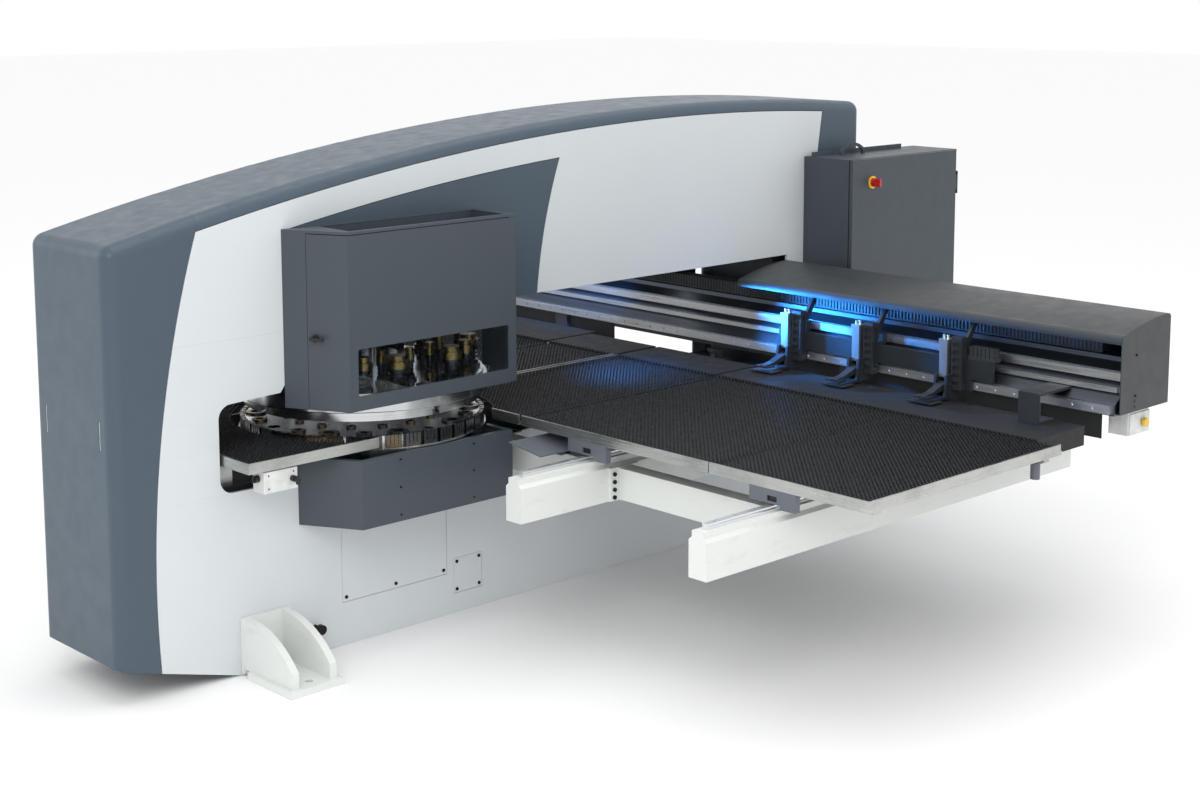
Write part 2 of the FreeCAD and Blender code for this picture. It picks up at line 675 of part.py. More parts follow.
def lower_guard():
    g = LOWER_GUARD
    shell = prism_z(guard_plan(g, 0), g["z0"], g["z1"])
    shell = shell.cut(prism_z(guard_plan(g, SHEET, -5), g["z0"] + SHEET, g["z1"] + 5))
    lip = prism_z(guard_plan(g, 0), g["z1"] - SHEET, g["z1"])
    lip = lip.cut(prism_z(guard_plan(g, 26, -5), 0, 2000))
    return fuse([shell, lip]).cut(cyl(0, TURRET_Y, LOWER_Z[0] - 12, 2000, LOWER_R + 8))


# ---------------------------------------------------------------- fixed tables in the throat
BOARD = 10.0                 # thickness of the boards that hold the brush strips
RIM = 8.0


def brush_bed(x0, x1, y0, y1):
    """Board that holds the brush strips; the bristles fill the space up to the pass line."""
    return box(x0, x1, y0, y1, SHEET_Z - BRISTLE_BED - BOARD, SHEET_Z - BRISTLE_BED)


def edge_frame(x0, x1, y0, y1, low):
    """Channel frame round a table, flush with the pass line; the sides named in low stay under the board."""
    z0, z1 = SHEET_Z - TABLE_DEPTH, SHEET_Z - 1
    outer = box(x0, x1, y0, y1, z0, z1)
    hollow = box(x0 + RIM, x1 - RIM, y0 + RIM, y1 - RIM, z0 - 5, z1 + 5)
    lips = box(x0 + 1, x1 - 1, y0 + 1, y1 - 1, z0, z0 + 5)
    lips = lips.cut(box(x0 + 50, x1 - 50, y0 + 50, y1 - 50, z0 - 5, z1))
    bar = box(x0 + 1, x1 - 1, (y0 + y1) / 2 - 20, (y0 + y1) / 2 + 20, z0, z0 + 18)
    frame = fuse([outer.cut(hollow), lips, bar])
    sides = {"inner": (x0 - 5, x0 + RIM, y0 + RIM, y1 + 5), "outer": (x1 - RIM, x1 + 5, y0 + RIM, y1 + 5),
             "rear": (x0 - 5, x1 + 5, y1 - RIM, y1 + 5)}
    return cut(frame, [box(*sides[name], z0 + 18, z1 + 5) for name in low])


def turret_clearance():
    return cyl(0, TURRET_Y, 500, 1500, TURRET_R + 22)


def front_table_frame():
    frame = edge_frame(-SMALL_HALF, SMALL_HALF, SMALL_FRONT + 10, SMALL_REAR, ())
    legs = [box(x - 30, x + 30, SMALL_FRONT + 40, SMALL_FRONT + 120, THROAT_FLOOR, SHEET_Z - TABLE_DEPTH + 1)
            for x in (-180, 180)]
    return fuse([frame] + legs).cut(turret_clearance())


def front_table_brushes():
    bed = brush_bed(-SMALL_HALF + 9, SMALL_HALF - 9, SMALL_FRONT + 19, SMALL_REAR - 9)
    return bed.cut(cyl(0, TURRET_Y, 500, 1500, TURRET_R + 26))


CENTRE_HALF = 600.0
CENTRE_SLOT = -90.0
SLOT_HALF = 12.0


CENTRE_HALVES = ((-CENTRE_HALF, CENTRE_SLOT - SLOT_HALF, -180.0, ("inner", "rear")),
                 (CENTRE_SLOT + SLOT_HALF, CENTRE_HALF, 180.0, ("outer", "rear")))


def centre_table_frames():
    """Two frames with a slot between them, where the drive yoke of the carriage passes."""
    halves = []
    for x0, x1, leg_x, low in CENTRE_HALVES:
        legs = [box(leg_x - 30, leg_x + 30, y - 40, y + 40, THROAT_FLOOR, SHEET_Z - TABLE_DEPTH + 1)
                for y in (520, 1150)]
        halves.append(fuse([edge_frame(x0, x1, TABLE_FRONT, TABLE_REAR, low)] + legs).cut(turret_clearance()))
    return halves


def centre_brushes():
    """Boards of the two centre tables; they cover the low sides of their frames."""
    beds = [brush_bed(-CENTRE_HALF, CENTRE_SLOT - SLOT_HALF - RIM - 1, TABLE_FRONT + RIM + 1, TABLE_REAR),
            brush_bed(CENTRE_SLOT + SLOT_HALF + RIM + 1, CENTRE_HALF, TABLE_FRONT + RIM + 1, TABLE_REAR)]
    return [bed.cut(cyl(0, TURRET_Y, 500, 1500, TURRET_R + 26)) for bed in beds]


def rear_slide_plates():
    """Smooth plates behind the centre brushes, under the carriage's travel."""
    plates = []
    for x0, x1, leg_x, low in CENTRE_HALVES:
        plate = box(x0, x1, TABLE_REAR + 2, 1500, SHEET_Z - 14, SHEET_Z - 4)
        leg = box(leg_x - 30, leg_x + 30, 1380, 1460, THROAT_FLOOR, SHEET_Z - 13)
        plates.append(fuse([plate, leg]))
    return plates


# ---------------------------------------------------------------- travelling tables
def wing_frame(side):
    inner = edge_frame(TABLE_INNER, TABLE_SEAM - 2, TABLE_FRONT, TABLE_REAR, ("inner", "outer", "rear"))
    outer = edge_frame(TABLE_SEAM + 2, TABLE_OUTER, TABLE_FRONT, TABLE_REAR, ("inner", "rear"))
    underside = SHEET_Z - TABLE_DEPTH
    ties = [box(TABLE_INNER + 20, TABLE_OUTER - 20, y, y + 40, underside - 22, underside + 1)
            for y in (TABLE_FRONT + 60, TABLE_REAR - 100)]
    return on_side(fuse([inner, outer] + ties), side)


def wing_brushes(side):
    """Boards of the travelling table and the black plate behind them."""
    shapes = [brush_bed(TABLE_INNER, TABLE_SEAM - 2, TABLE_FRONT + RIM + 1, TABLE_REAR),
              brush_bed(TABLE_SEAM + 2, TABLE_OUTER - RIM - 1, TABLE_FRONT + RIM + 1, TABLE_REAR),
              wing_rear_plate(), rear_skirt(TABLE_INNER, REAR_PLATE_X, 862)]
    return on_side(group(shapes), side)


REAR_PLATE_X = 2440.0
REAR_PLATE_Y = 1560.0
SKIRT_Y = 1697.0


def wing_rear_plate():
    """Black plate between the brushes and the carriage, folded down at its outer end."""
    plate = box(TABLE_INNER, REAR_PLATE_X, TABLE_REAR + 2, REAR_PLATE_Y, SHEET_Z - 12, SHEET_Z - 4)
    fold = box(REAR_PLATE_X - 4, REAR_PLATE_X, TABLE_REAR + 2, REAR_PLATE_Y, SHEET_Z - 90, SHEET_Z - 4)
    return fuse([plate, fold])


def rear_skirt(x0, x1, z0):
    """Thin black sheet that hangs under the carriage beam and closes the view below it."""
    skirt = box(x0, x1, SKIRT_Y, SKIRT_Y + 3, z0, BEAM_UNDERSIDE)
    return cut(skirt, [box(x - 50, x + 50, SKIRT_Y - 20, SKIRT_Y + 20, 0, 2000) for x in BEAM_X])


BLOCK_Y = (850.0, 1750.0)
BRACKET_TOP = SHEET_Z - TABLE_DEPTH - 22


def bearing_blocks(side):
    """Ball carriages that straddle the guide rails, and a wiper block above each rail's front."""
    blocks = []
    for x in BEAM_X:
        for y in BLOCK_Y:
            block = box(x - 40, x + 40, y - 65, y + 65, RAIL_TOP - 20, RAIL_TOP + 14)
            blocks.append(block.cut(box(x - 15.4, x + 15.4, y - 80, y + 80, RAIL_TOP - 40, RAIL_TOP + 0.4)))
        wiper = box(x - 40, x + 44, TABLE_FRONT + 8, TABLE_FRONT + 50, RAIL_TOP + 4, BRACKET_TOP)
        blocks.append(wiper)
    return on_side(group(blocks), side)


def table_brackets(side):
    """Brackets on the ball carriages, one-legged plates under the table's front edge, a rear stop."""
    shapes = []
    for x in BEAM_X:
        shapes.append(box(x - 48, x + 48, BLOCK_Y[0] - 70, BLOCK_Y[0] + 70, RAIL_TOP + 14, BRACKET_TOP))
        plate = box(x - 112, x + 122, TABLE_FRONT, TABLE_FRONT + 6, RAIL_TOP + 4, SHEET_Z - TABLE_DEPTH)
        leg = box(x + 47, x + 122, TABLE_FRONT, TABLE_FRONT + 30, RAIL_TOP - 12, SHEET_Z - TABLE_DEPTH)
        window = box(x - 20, x + 30, TABLE_FRONT - 5, TABLE_FRONT + 10, RAIL_TOP + 14, RAIL_TOP + 36)
        shapes.append(fuse([plate, leg]).cut(window))
    head = box(2490, 2540, 1062, 1099, 879, SHEET_Z - TABLE_DEPTH)
    shapes.append(fuse([cyl(2515, 1077, 812, 880, 20), head]))
    return on_side(group(shapes), side)


def beam_section(x):
    """Box beam with shoulders that narrow to a rail seat."""
    half = BEAM_W / 2
    z0, z1 = BEAM_Z
    return [(x - half, z0), (x - half, z1 - 22), (x - half + 16, z1 - 8), (x - half + 16, z1 + 16),
            (x + half - 16, z1 + 16), (x + half - 16, z1 - 8), (x + half, z1 - 22), (x + half, z0)]


def beam(side, index):
    x = BEAM_X[index]
    body = prism_y(beam_section(x), BEAM_FRONT, BEAM_REAR)
    body = body.cut(box(x - 34, x + 34, BEAM_FRONT + 12, BEAM_REAR - 12, BEAM_Z[0] + 12, BEAM_Z[1] - 30))
    return on_side(body, side)


def guide_rail(side, index):
    """Ground rail with a dovetail waist, screwed to its beam."""
    x = BEAM_X[index]
    z0 = BEAM_Z[1] + 16
    profile = [(x - 15, z0), (x - 15, z0 + 8), (x - 11, z0 + 12), (x - 15, z0 + 16), (x - 15, RAIL_TOP),
               (x + 15, RAIL_TOP), (x + 15, z0 + 16), (x + 11, z0 + 12), (x + 15, z0 + 8), (x + 15, z0)]
    rail = prism_y(profile, BEAM_FRONT + 40, BEAM_REAR - 20)
    holes = [cyl(x, BEAM_FRONT + 90 + i * 120, RAIL_TOP - 9, RAIL_TOP + 5, 7) for i in range(19)]
    return on_side(cut(rail, holes), side)


def flange_bolt_places():
    """Position and outward sense of each bolt that holds a cross beam's end flange."""
    flange_faces = ((BODY_HALF + 2 + FLANGE, 1), (BEAM_X[0] - BEAM_W / 2 - FLANGE, -1),
                    (BEAM_X[0] + BEAM_W / 2 + FLANGE, 1), (BEAM_X[1] - BEAM_W / 2 - FLANGE, -1))
    places = []
    for y in CROSS_Y:
        for x, sense in flange_faces:
            for dy in (-64, 64):
                for rise in (18, 52, 86, 120):
                    places.append((x, y + dy, BEAM_Z[0] + rise, sense))
    return places


def cross_beams(side):
    """Box beams from the body out to the inner and the outer beam, with end flanges."""
    shapes = []
    stations = [(BODY_HALF + 2, BEAM_X[0] - BEAM_W / 2), (BEAM_X[0] + BEAM_W / 2, BEAM_X[1] - BEAM_W / 2)]
    holes = [cyl_x(x - 30, x + 30, y, z, BOLT_R + 0.5) for x, y, z, sense in flange_bolt_places()]
    for y in CROSS_Y:
        for x0, x1 in stations:
            bar = box(x0, x1, y - CROSS_HALF, y + CROSS_HALF, BEAM_Z[0] + 6, BEAM_Z[1] - 26)
            bar = bar.cut(box(x0 + FLANGE, x1 - FLANGE, y - CROSS_HALF + 8, y + CROSS_HALF - 8,
                              BEAM_Z[0] + 14, BEAM_Z[1] - 34))
            flanges = [box(a, b, y - 85, y + 85, BEAM_Z[0] + 2, BEAM_Z[1] - 22)
                       for a, b in ((x0, x0 + FLANGE), (x1 - FLANGE, x1))]
            shapes.append(cut(fuse([bar] + flanges), holes))
    return on_side(group(shapes), side)


def flange_bolts(side):
    shapes = [bolt(x, y, z, V(sense, 0, 0), BOLT_R, 10, FLANGE - 1) for x, y, z, sense in flange_bolt_places()]
    return on_side(group(shapes), side)


def chute_plate(side):
    """Folded scrap deflector beside the inner beam, on a stay from the cross beam."""
    profile = [(712, 870), (918, 842), (918, 838), (712, 866)]
    plate = prism_y(profile, -225, 60)
    stay = box(722, 762, 36, 60, BEAM_Z[1] - 28, 862)
    foot_plate = box(722, 762, 36, CROSS_Y[0] - 10, BEAM_Z[1] - 26, BEAM_Z[1] - 21)
    return on_side(fuse([plate, stay, foot_plate]), side)


# ---------------------------------------------------------------- carriage
CAR_BEAM_Y = (1640.0, 1900.0)
BEAM_UNDERSIDE = 985.0


def carriage_beam():
    """Stepped beam across the machine that carries the X rails."""
    y0, y1 = CAR_BEAM_Y
    profile = [(y0, 985), (y0, 1035), (y0 + 60, 1075), (y0 + 60, 1100), (y0 + 95, 1118), (y0 + 95, 1165),
               (y0 + 150, 1195), (y0 + 150, 1215), (y1, 1215), (y1, 985)]
    body = prism_x(profile, -CAR_HALF + 20, CAR_HALF - 20)
    hollow = prism_x([(y0 + 70, 1000), (y0 + 70, 1060), (y0 + 110, 1110), (y0 + 170, 1180), (y1 - 15, 1180),
                      (y1 - 15, 1000)], -CAR_HALF + 60, CAR_HALF - 60)
    return body.cut(hollow)


def lower_x_rail():
    rail = box(-CAR_HALF + 40, CAR_HALF - 40, CAR_BEAM_Y[0] - 16, CAR_BEAM_Y[0], 992, 1028)
    holes = [Part.makeCylinder(6, 10, V(-CAR_HALF + 90 + i * 100, CAR_BEAM_Y[0] - 17, 1010), V(0, 1, 0))
             for i in range(50)]
    return cut(rail, holes)


def upper_x_rail():
    y = CAR_BEAM_Y[0] + 95
    return box(-CAR_HALF + 40, CAR_HALF - 40, y - 16, y, 1124, 1158)


def x_rack():
    """Toothed rack on the beam's middle step."""
    y = CAR_BEAM_Y[0] + 60
    return box(-CAR_HALF + 40, CAR_HALF - 40, y - 14, y, 1078, 1098)


def wiring_duct():
    """Slotted wiring duct along the top of the beam."""
    y0, y1 = CAR_BEAM_Y[1] - 80, CAR_BEAM_Y[1]
    duct = box(-CAR_HALF + 60, CAR_HALF - 200, y0, y1, 1216, 1276)
    duct = duct.cut(box(-CAR_HALF + 63, CAR_HALF - 203, y0 + 3, y1 - 3, 1219, 1290))
    return duct


def cable_trough():
    """Tray behind the beam that carries the drag chains."""
    y0, y1 = CAR_BEAM_Y[1] + 4, CAR_REAR - 10
    tray = box(-CAR_HALF + 20, CAR_HALF - 20, y0, y1, 1120, 1180)
    return tray.cut(box(-CAR_HALF + 10, CAR_HALF - 10, y0 + 3, y1 - 3, 1123, 1200))


def hood(side):
    y0, y1, top0, top1 = CAR_FRONT, CAR_REAR, HOOD_TOP_FRONT, HOOD_TOP_REAR
    outer = [(y0, HOOD_LIP), (y0, top0 - 30), (y0 + 10, top0 - 8, "via"), (y0 + 34, top0),
             ((y0 + y1) / 2, top0 + 38, "via"), (y1 - 20, top1), (y1 - 5, top1 - 6, "via"), (y1, top1 - 22),
             (y1, HOOD_BOTTOM), (y1 - 3, HOOD_BOTTOM), (y1 - 3, top1 - 22), (y1 - 8, top1 - 9, "via"),
             (y1 - 20, top1 - 4), ((y0 + y1) / 2, top0 + 34, "via"), (y0 + 35, top0 - 4),
             (y0 + 13, top0 - 11, "via"), (y0 + 4, top0 - 31), (y0 + 4, HOOD_LIP)]
    shell = prism_x(outer, HOOD_INNER, CAR_HALF - 5)
    ribs = []
    for x in (HOOD_INNER + 20, 1100, 1850):
        rib = prism_x([(y0 + 30, top0 - 40), (y0 + 60, top0 - 6), (y1 - 30, top1 - 12), (y1 - 3, top1 - 40),
                       (y1 - 3, 1182), (y1 - 30, 1182), (y1 - 30, top1 - 60)], x, x + 4)
        ribs.append(rib)
    return on_side(fuse([shell] + ribs), side)


def hood_end(side):
    y0, y1, top0, top1 = CAR_FRONT, CAR_REAR, HOOD_TOP_FRONT, HOOD_TOP_REAR
    outer = [(y0, HOOD_BOTTOM), (y0, top0 - 30), (y0 + 10, top0 - 8, "via"), (y0 + 34, top0),
             ((y0 + y1) / 2, top0 + 38, "via"), (y1 - 20, top1), (y1 - 5, top1 - 6, "via"), (y1, top1 - 22),
             (y1, HOOD_BOTTOM)]
    plate = prism_x(outer, CAR_HALF - 4, CAR_HALF)
    lip = box(CAR_HALF - 20, CAR_HALF - 4, y0 + 6, y1 - 6, HOOD_BOTTOM, HOOD_BOTTOM + 3)
    screws = [cyl_x(CAR_HALF - 1, CAR_HALF + 3, y0 + 120, z, 6) for z in (1010, 1035)]
    return on_side(fuse([plate, lip] + screws), side)


def beam_links(side):
    """Plates that hang the carriage beam on the rear ball carriages and tie it to the tables."""
    shapes = []
    for x in BEAM_X:
        shapes.append(box(x - 48, x + 48, BLOCK_Y[1] - 70, BLOCK_Y[1] + 70, RAIL_TOP + 14, 985))
    shapes.append(box(2180, 2290, 1440, 1556, SHEET_Z - 4, 1075)
                  .cut(box(2170, 2300, 1444, 1700, SHEET_Z + 6, 1063)))
    shapes[-1] = fuse([shapes[-1], box(2180, 2290, 1555, 1700, 1063, 1075)
                       .cut(prism_x([(1640, 900), (1640, 1035), (1700, 1075), (1700, 900)], 2100, 2400))
                       .cut(box(2100, 2400, 1622, 1642, 980, 1040))])
    return on_side(group(shapes), side)


# ---------------------------------------------------------------- workholder
SADDLE_GAP = 0.4


def x_saddle():
    """Long plate that carries the clamps and runs on the two X rails."""
    x0, x1 = CLAMP_X[0] - 90, CLAMP_X[2] + 230
    y = CAR_BEAM_Y[0] - 16 - SADDLE_GAP
    plate = box(x0, x1, y - 14, y, 1040, 1130)
    shapes = [plate]
    for x in (x0 + 60, CLAMP_X[1], CLAMP_X[2] + 60):
        low = box(x - 55, x + 55, y - 14, y, 985, 1045)
        hook = box(x - 55, x + 55, y - 14, CAR_BEAM_Y[0] + 95 - 16 - SADDLE_GAP, 1112, 1130)
        grip = box(x - 55, x + 55, CAR_BEAM_Y[0] + 95 - 50, CAR_BEAM_Y[0] + 95 - 16 - SADDLE_GAP, 1112, 1166)
        shapes += [low, hook, grip]
    return fuse(shapes + hose_arms())


CLAMP_Y = CAR_BEAM_Y[0] - 16 - SADDLE_GAP - 14
JAW_PIVOT_Y = 1500.0
JAW_PIVOT_Z = 1012.0


JAW_PIN_Y = JAW_PIVOT_Y + 60


def clamp_body(x):
    """Clamp casting: lower jaw, two cheeks, and the tall slotted housing beside its cylinder."""
    lower = [(CLAMP_TIP_Y, 948), (CLAMP_TIP_Y, 955), (CLAMP_TIP_Y + 110, 961), (1520, 961), (1530, 1060),
             (CLAMP_Y, 1066), (CLAMP_Y, 952), (1500, 948)]
    body = prism_x(lower, x - 36, x + 36)
    slot = box(x - 23, x + 23, CLAMP_TIP_Y + 112, CLAMP_Y - 8, 962, 1200)
    base = box(x - 70, x + 62, CLAMP_TIP_Y, 1470, 948, 953)
    housing = box(x + 30, x + 86, 1566, CLAMP_Y, 990, 1236)
    grooves = [box(x + 40, x + 76, 1560, 1574, z, z + 18) for z in (1010, 1046, 1082, 1118, 1154, 1190)]
    side_slot = box(x + 78, x + 90, 1580, 1604, 1020, 1210)
    bore = cyl_x(x - 60, x + 40, JAW_PIN_Y, JAW_PIVOT_Z, 8)
    return cut(fuse([body.cut(slot), base, housing]), grooves + [side_slot, bore])


def clamp_bodies():
    """The three clamp castings, each with its own jaw pin."""
    pins = [cyl_x(x - 40, x + 40, JAW_PIN_Y, JAW_PIVOT_Z, 8) for x in CLAMP_X]
    return group([clamp_body(x) for x in CLAMP_X] + pins)


def clamp_jaw(x):
    """Upper jaw: a lever on the pin with a flat pad that comes down on the sheet."""
    y = JAW_PIN_Y
    arm = [(CLAMP_TIP_Y + 4, 972), (CLAMP_TIP_Y + 4, 980), (1450, 990), (y - 10, 1026), (y + 16, 1026),
           (y + 16, 996), (y - 60, 984), (1450, 973)]
    lever = prism_x(arm, x - 19, x + 19)
    pad = box(x - 44, x + 36, CLAMP_TIP_Y + 4, CLAMP_TIP_Y + 56, 970, 977)
    return fuse([lever, pad]).cut(cyl_x(x - 60, x + 60, y, JAW_PIVOT_Z, 8 + SHAFT_GAP))


def clamp_cylinder(x):
    """Pneumatic cylinder that closes the jaw, between the cheeks of its casting."""
    tube = box(x - 21, x + 21, 1546, 1590, 1046, 1206)
    rod = cyl(x, 1568, 1034, 1047, 9)
    cap = box(x - 24, x + 24, 1543, 1593, 1206, 1222)
    fittings = [cyl(x + dx, 1568, 1222, 1240, 6) for dx in (-11, 11)]
    return fuse([tube, rod, cap] + fittings)


def clamp_cylinders():
    return group([clamp_cylinder(x) for x in CLAMP_X])


def hose_arms():
    """Raised arms that lead hoses from each clamp up under the hood."""
    shapes = []
    for x in CLAMP_X:
        profile = [(1611, 1128), (1611, 1200), (1684, 1290), (1712, 1290), (1640, 1180), (1622, 1128)]
        shapes.append(prism_x(profile, x + 58, x + 72))
    return shapes


def valve_island():
    """Valve block with its row of valves, on the saddle's outer end."""
    x0 = CLAMP_X[2] + 90
    base = box(x0, x0 + 140, 1612, 1668, 1131, 1150)
    valves = [box(x0 + 6 + i * 22, x0 + 24 + i * 22, 1616, 1664, 1150, 1192) for i in range(6)]
    return fuse([base] + valves)


# ---------------------------------------------------------------- electrics
def cabinet_shell():
    c = CABINET
    shell = box(c["x0"], c["x1"] - 24, c["y0"], c["y1"], c["z0"], c["z1"])
    shell = shell.cut(box(c["x0"] + 3, c["x1"], c["y0"] + 3, c["y1"] - 3, c["z0"] + 3, c["z1"] - 3))
    top = c["z1"]
    rod = box(c["x0"] + 40, c["x0"] + 52, c["y0"] + 10, c["y0"] + 760, top - 1, top + 24)
    bow = prism_x([(2370, top - 1), (2370, top + 20), (2470, top + 62, "via"), (2570, top + 20), (2570, top - 1)],
                  c["x0"] + 90, c["x0"] + 102)
    bow = bow.cut(prism_x([(2390, top - 5), (2390, top + 14), (2470, top + 48, "via"), (2550, top + 14),
                           (2550, top - 5)], c["x0"] + 80, c["x0"] + 110))
    plate = box(c["x0"] + 3, c["x0"] + 8, c["y0"] + 40, c["y1"] - 40, c["z0"] + 60, c["z1"] - 60)
    stands = [box(BODY_HALF, c["x0"], y - 40, y + 40, z, z + 80)
              for y in (c["y0"] + 120, c["y0"] + 400) for z in (c["z0"] + 60, c["z1"] - 160)]
    return fuse([shell, rod, bow, plate] + stands)


CAB_HINGE_Y = 3104.0
CAB_HINGE_X = 626.0


def cabinet_door():
    c = CABINET
    door = box(c["x1"] - 20, c["x1"], c["y0"] + 2, c["y1"] - 34, c["z0"] + 2, c["z1"] - 2)
    door = door.cut(box(c["x1"] - 25, c["x1"] - 3, c["y0"] + 5, c["y1"] - 40, c["z0"] + 5, c["z1"] - 5))
    barrels = []
    for z in (c["z0"] + 120, c["z1"] - 220):
        barrel = cyl(CAB_HINGE_X, CAB_HINGE_Y, z, z + 80, 10)
        leaf = box(CAB_HINGE_X + 1, CAB_HINGE_X + 7, c["y1"] - 45, CAB_HINGE_Y, z, z + 80)
        barrels.append(fuse([barrel, leaf]).cut(cyl(CAB_HINGE_X, CAB_HINGE_Y, z - 5, z + 90, 5 + SHAFT_GAP)))
    hole = cyl_x(c["x1"] - 30, c["x1"] + 5, SWITCH_Y, SWITCH_Z, 12 + SHAFT_GAP)
    return fuse([door] + barrels).cut(hole)


def cabinet_hinge_pins():
    shapes = []
    c = CABINET
    for z in (c["z0"] + 120, c["z1"] - 220):
        arms = [fuse([cyl(CAB_HINGE_X, CAB_HINGE_Y, a, a + 20, 10),
                      box(c["x1"] - 24, CAB_HINGE_X, CAB_HINGE_Y - 8, CAB_HINGE_Y + 8, a, a + 20)])
                for a in (z - 21, z + 81)]
        shapes.append(fuse([cyl(CAB_HINGE_X, CAB_HINGE_Y, z - 21, z + 101, 5)] + arms))
    return group(shapes)


SWITCH_Y = 2354.0
SWITCH_Z = 1800.0


def main_switch_plate():
    x = CABINET["x1"]
    return cyl_x(x, x + 5, SWITCH_Y, SWITCH_Z, 33).cut(cyl_x(x - 5, x + 10, SWITCH_Y, SWITCH_Z, 12 + SHAFT_GAP))


def main_switch_knob():
    x = CABINET["x1"]
    shaft = cyl_x(x - 22, x + 6, SWITCH_Y, SWITCH_Z, 12)
    disc = cyl_x(x + 5.5, x + 30, SWITCH_Y, SWITCH_Z, 23)
    grip = box(x + 29, x + 56, SWITCH_Y - 8, SWITCH_Y + 8, SWITCH_Z - 22, SWITCH_Z + 22)
    grip = rounded(grip, 7, along_x)
    return fuse([shaft, disc, grip])


ESTOP = {"x0": 2400.0, "x1": 2500.0, "y0": 1815.0, "y1": 1985.0, "z0": 862.0, "z1": 972.0}
ESTOP_Y = 1925.0
ESTOP_Z = 912.0


def estop_box():
    e = ESTOP
    body = box(e["x0"], e["x1"], e["y0"], e["y1"], e["z0"], e["z1"])
    body = rounded(body, 5, along_z)
    lid = box(e["x1"], e["x1"] + 6, e["y0"] + 4, e["y1"] - 4, e["z0"] + 4, e["z1"] - 14)
    bore = cyl_x(e["x1"] - 30, e["x1"] + 10, ESTOP_Y, ESTOP_Z, 11 + SHAFT_GAP)
    bracket = box(e["x0"] + 10, e["x1"] - 10, e["y0"] + 10, e["y0"] + 70, e["z1"] - 1, BEAM_UNDERSIDE)
    return fuse([body, lid, bracket]).cut(bore)


def estop_button():
    x = ESTOP["x1"]
    return fuse([cyl_x(x - 22, x + 20, ESTOP_Y, ESTOP_Z, 11), cyl_x(x + 12, x + 26, ESTOP_Y, ESTOP_Z, 20)])


CONTROL = {"x0": 412.0, "x1": 494.0, "y0": -1332.0, "y1": -1170.0, "z0": 804.0, "z1": 892.0}
LEVER_A = (452.0, 862.0)     # x and height of the lever on the box's front end
LEVER_B = (-1196.0, 848.0)   # y and height of the lever on its outer face


def front_control_box():
    c = CONTROL
    body = box(c["x0"], c["x1"], c["y0"], c["y1"], c["z0"], c["z1"])
    body = rounded(body, 4, along_z)
    hanger = box(c["x0"] + 15, c["x1"] - 15, c["y0"] + 30, c["y1"] - 30, c["z1"] - 1, SHEET_Z - TABLE_DEPTH)
    bores = [cyl_y(LEVER_A[0], c["y0"] - 5, c["y0"] + 25, LEVER_A[1], 6 + SHAFT_GAP),
             cyl_x(c["x1"] - 25, c["x1"] + 5, LEVER_B[0], LEVER_B[1], 6 + SHAFT_GAP)]
    return cut(fuse([body, hanger]), bores)


def control_lever_a():
    x, z = LEVER_A
    y = CONTROL["y0"]
    return fuse([cyl_y(x, y - 10, y + 22, z, 6), cyl_y(x, y - 20, y - 0.5, z, 15),
                 box(x - 4, x + 4, y - 28, y - 19, z - 13, z + 13)])


def control_lever_b():
    y, z = LEVER_B
    x = CONTROL["x1"]
    return fuse([cyl_x(x - 22, x + 10, y, z, 6), cyl_x(x + 0.5, x + 20, y, z, 13),
                 cyl_x(x + 19, x + 48, y, z, 8), box(x + 30, x + 44, y - 5, y + 5, z - 20, z + 5)])


# ---------------------------------------------------------------- inner machinery
def hydraulic_unit():
    """Oil tank with its filler, and the pump motor that stands on it."""
    tank = fuse([box(-170, 170, 2180, 2520, 80, 480), cyl(-110, 2230, 480, 510, 40)])
    motor = fuse([cyl(30, 2360, 480.2, 800, 120), cyl(30, 2360, 800, 830, 90)])
    return group([tank, motor])


SCREW_X = CENTRE_SLOT
SCREW_Z = 836.0
SCREW_R = 20.0
SCREW_END = 15.0
SCREW_BEARINGS = (230.0, 1925.0)


def y_screw_bearings():
    shapes = []
    for y in SCREW_BEARINGS:
        bore = cyl_y(SCREW_X, y - 5, y + 45, SCREW_Z, SCREW_END + SHAFT_GAP)
        shapes.append(box(SCREW_X - 40, SCREW_X + 40, y, y + 40, THROAT_FLOOR, 872).cut(bore))
    return group(shapes)


def y_screw():
    """Ball screw that drives the carriage, with turned ends in its bearings."""
    y0, y1 = SCREW_BEARINGS
    return fuse([cyl_y(SCREW_X, y0 + 45, y1 - 5, SCREW_Z, SCREW_R),
                 cyl_y(SCREW_X, y0 - 5, y1 + 45, SCREW_Z, SCREW_END)])


def y_nut():
    """Ball nut with its thin yoke up through the table's slot to the carriage beam."""
    body = cyl_y(SCREW_X, 1760, 1870, SCREW_Z, 38)
    yoke = box(SCREW_X - 6, SCREW_X + 6, 1770, 1860, SCREW_Z + 30, 985)
    return fuse([body, yoke]).cut(cyl_y(SCREW_X, 1700, 1900, SCREW_Z, SCREW_R + 0.1))


# ---------------------------------------------------------------- nodes
def both(maker):
    """One node for a piece that the machine has on each side."""
    shapes = []
    for side in ("right", "left"):
        shapes += maker(side).Solids
    return group(shapes)


def fixed_table_frames():
    return group([front_table_frame()] + centre_table_frames())


def fixed_brushes():
    return group([front_table_brushes()] + centre_brushes() + rear_slide_plates())


def carriage_links():
    """Links to the ball carriages and tables, the drive nut, and the skirt inside the throat."""
    inside = rear_skirt(-TABLE_INNER + 2, TABLE_INNER - 2, SHEET_Z + 8)
    return group(both(beam_links).Solids + [y_nut(), inside])


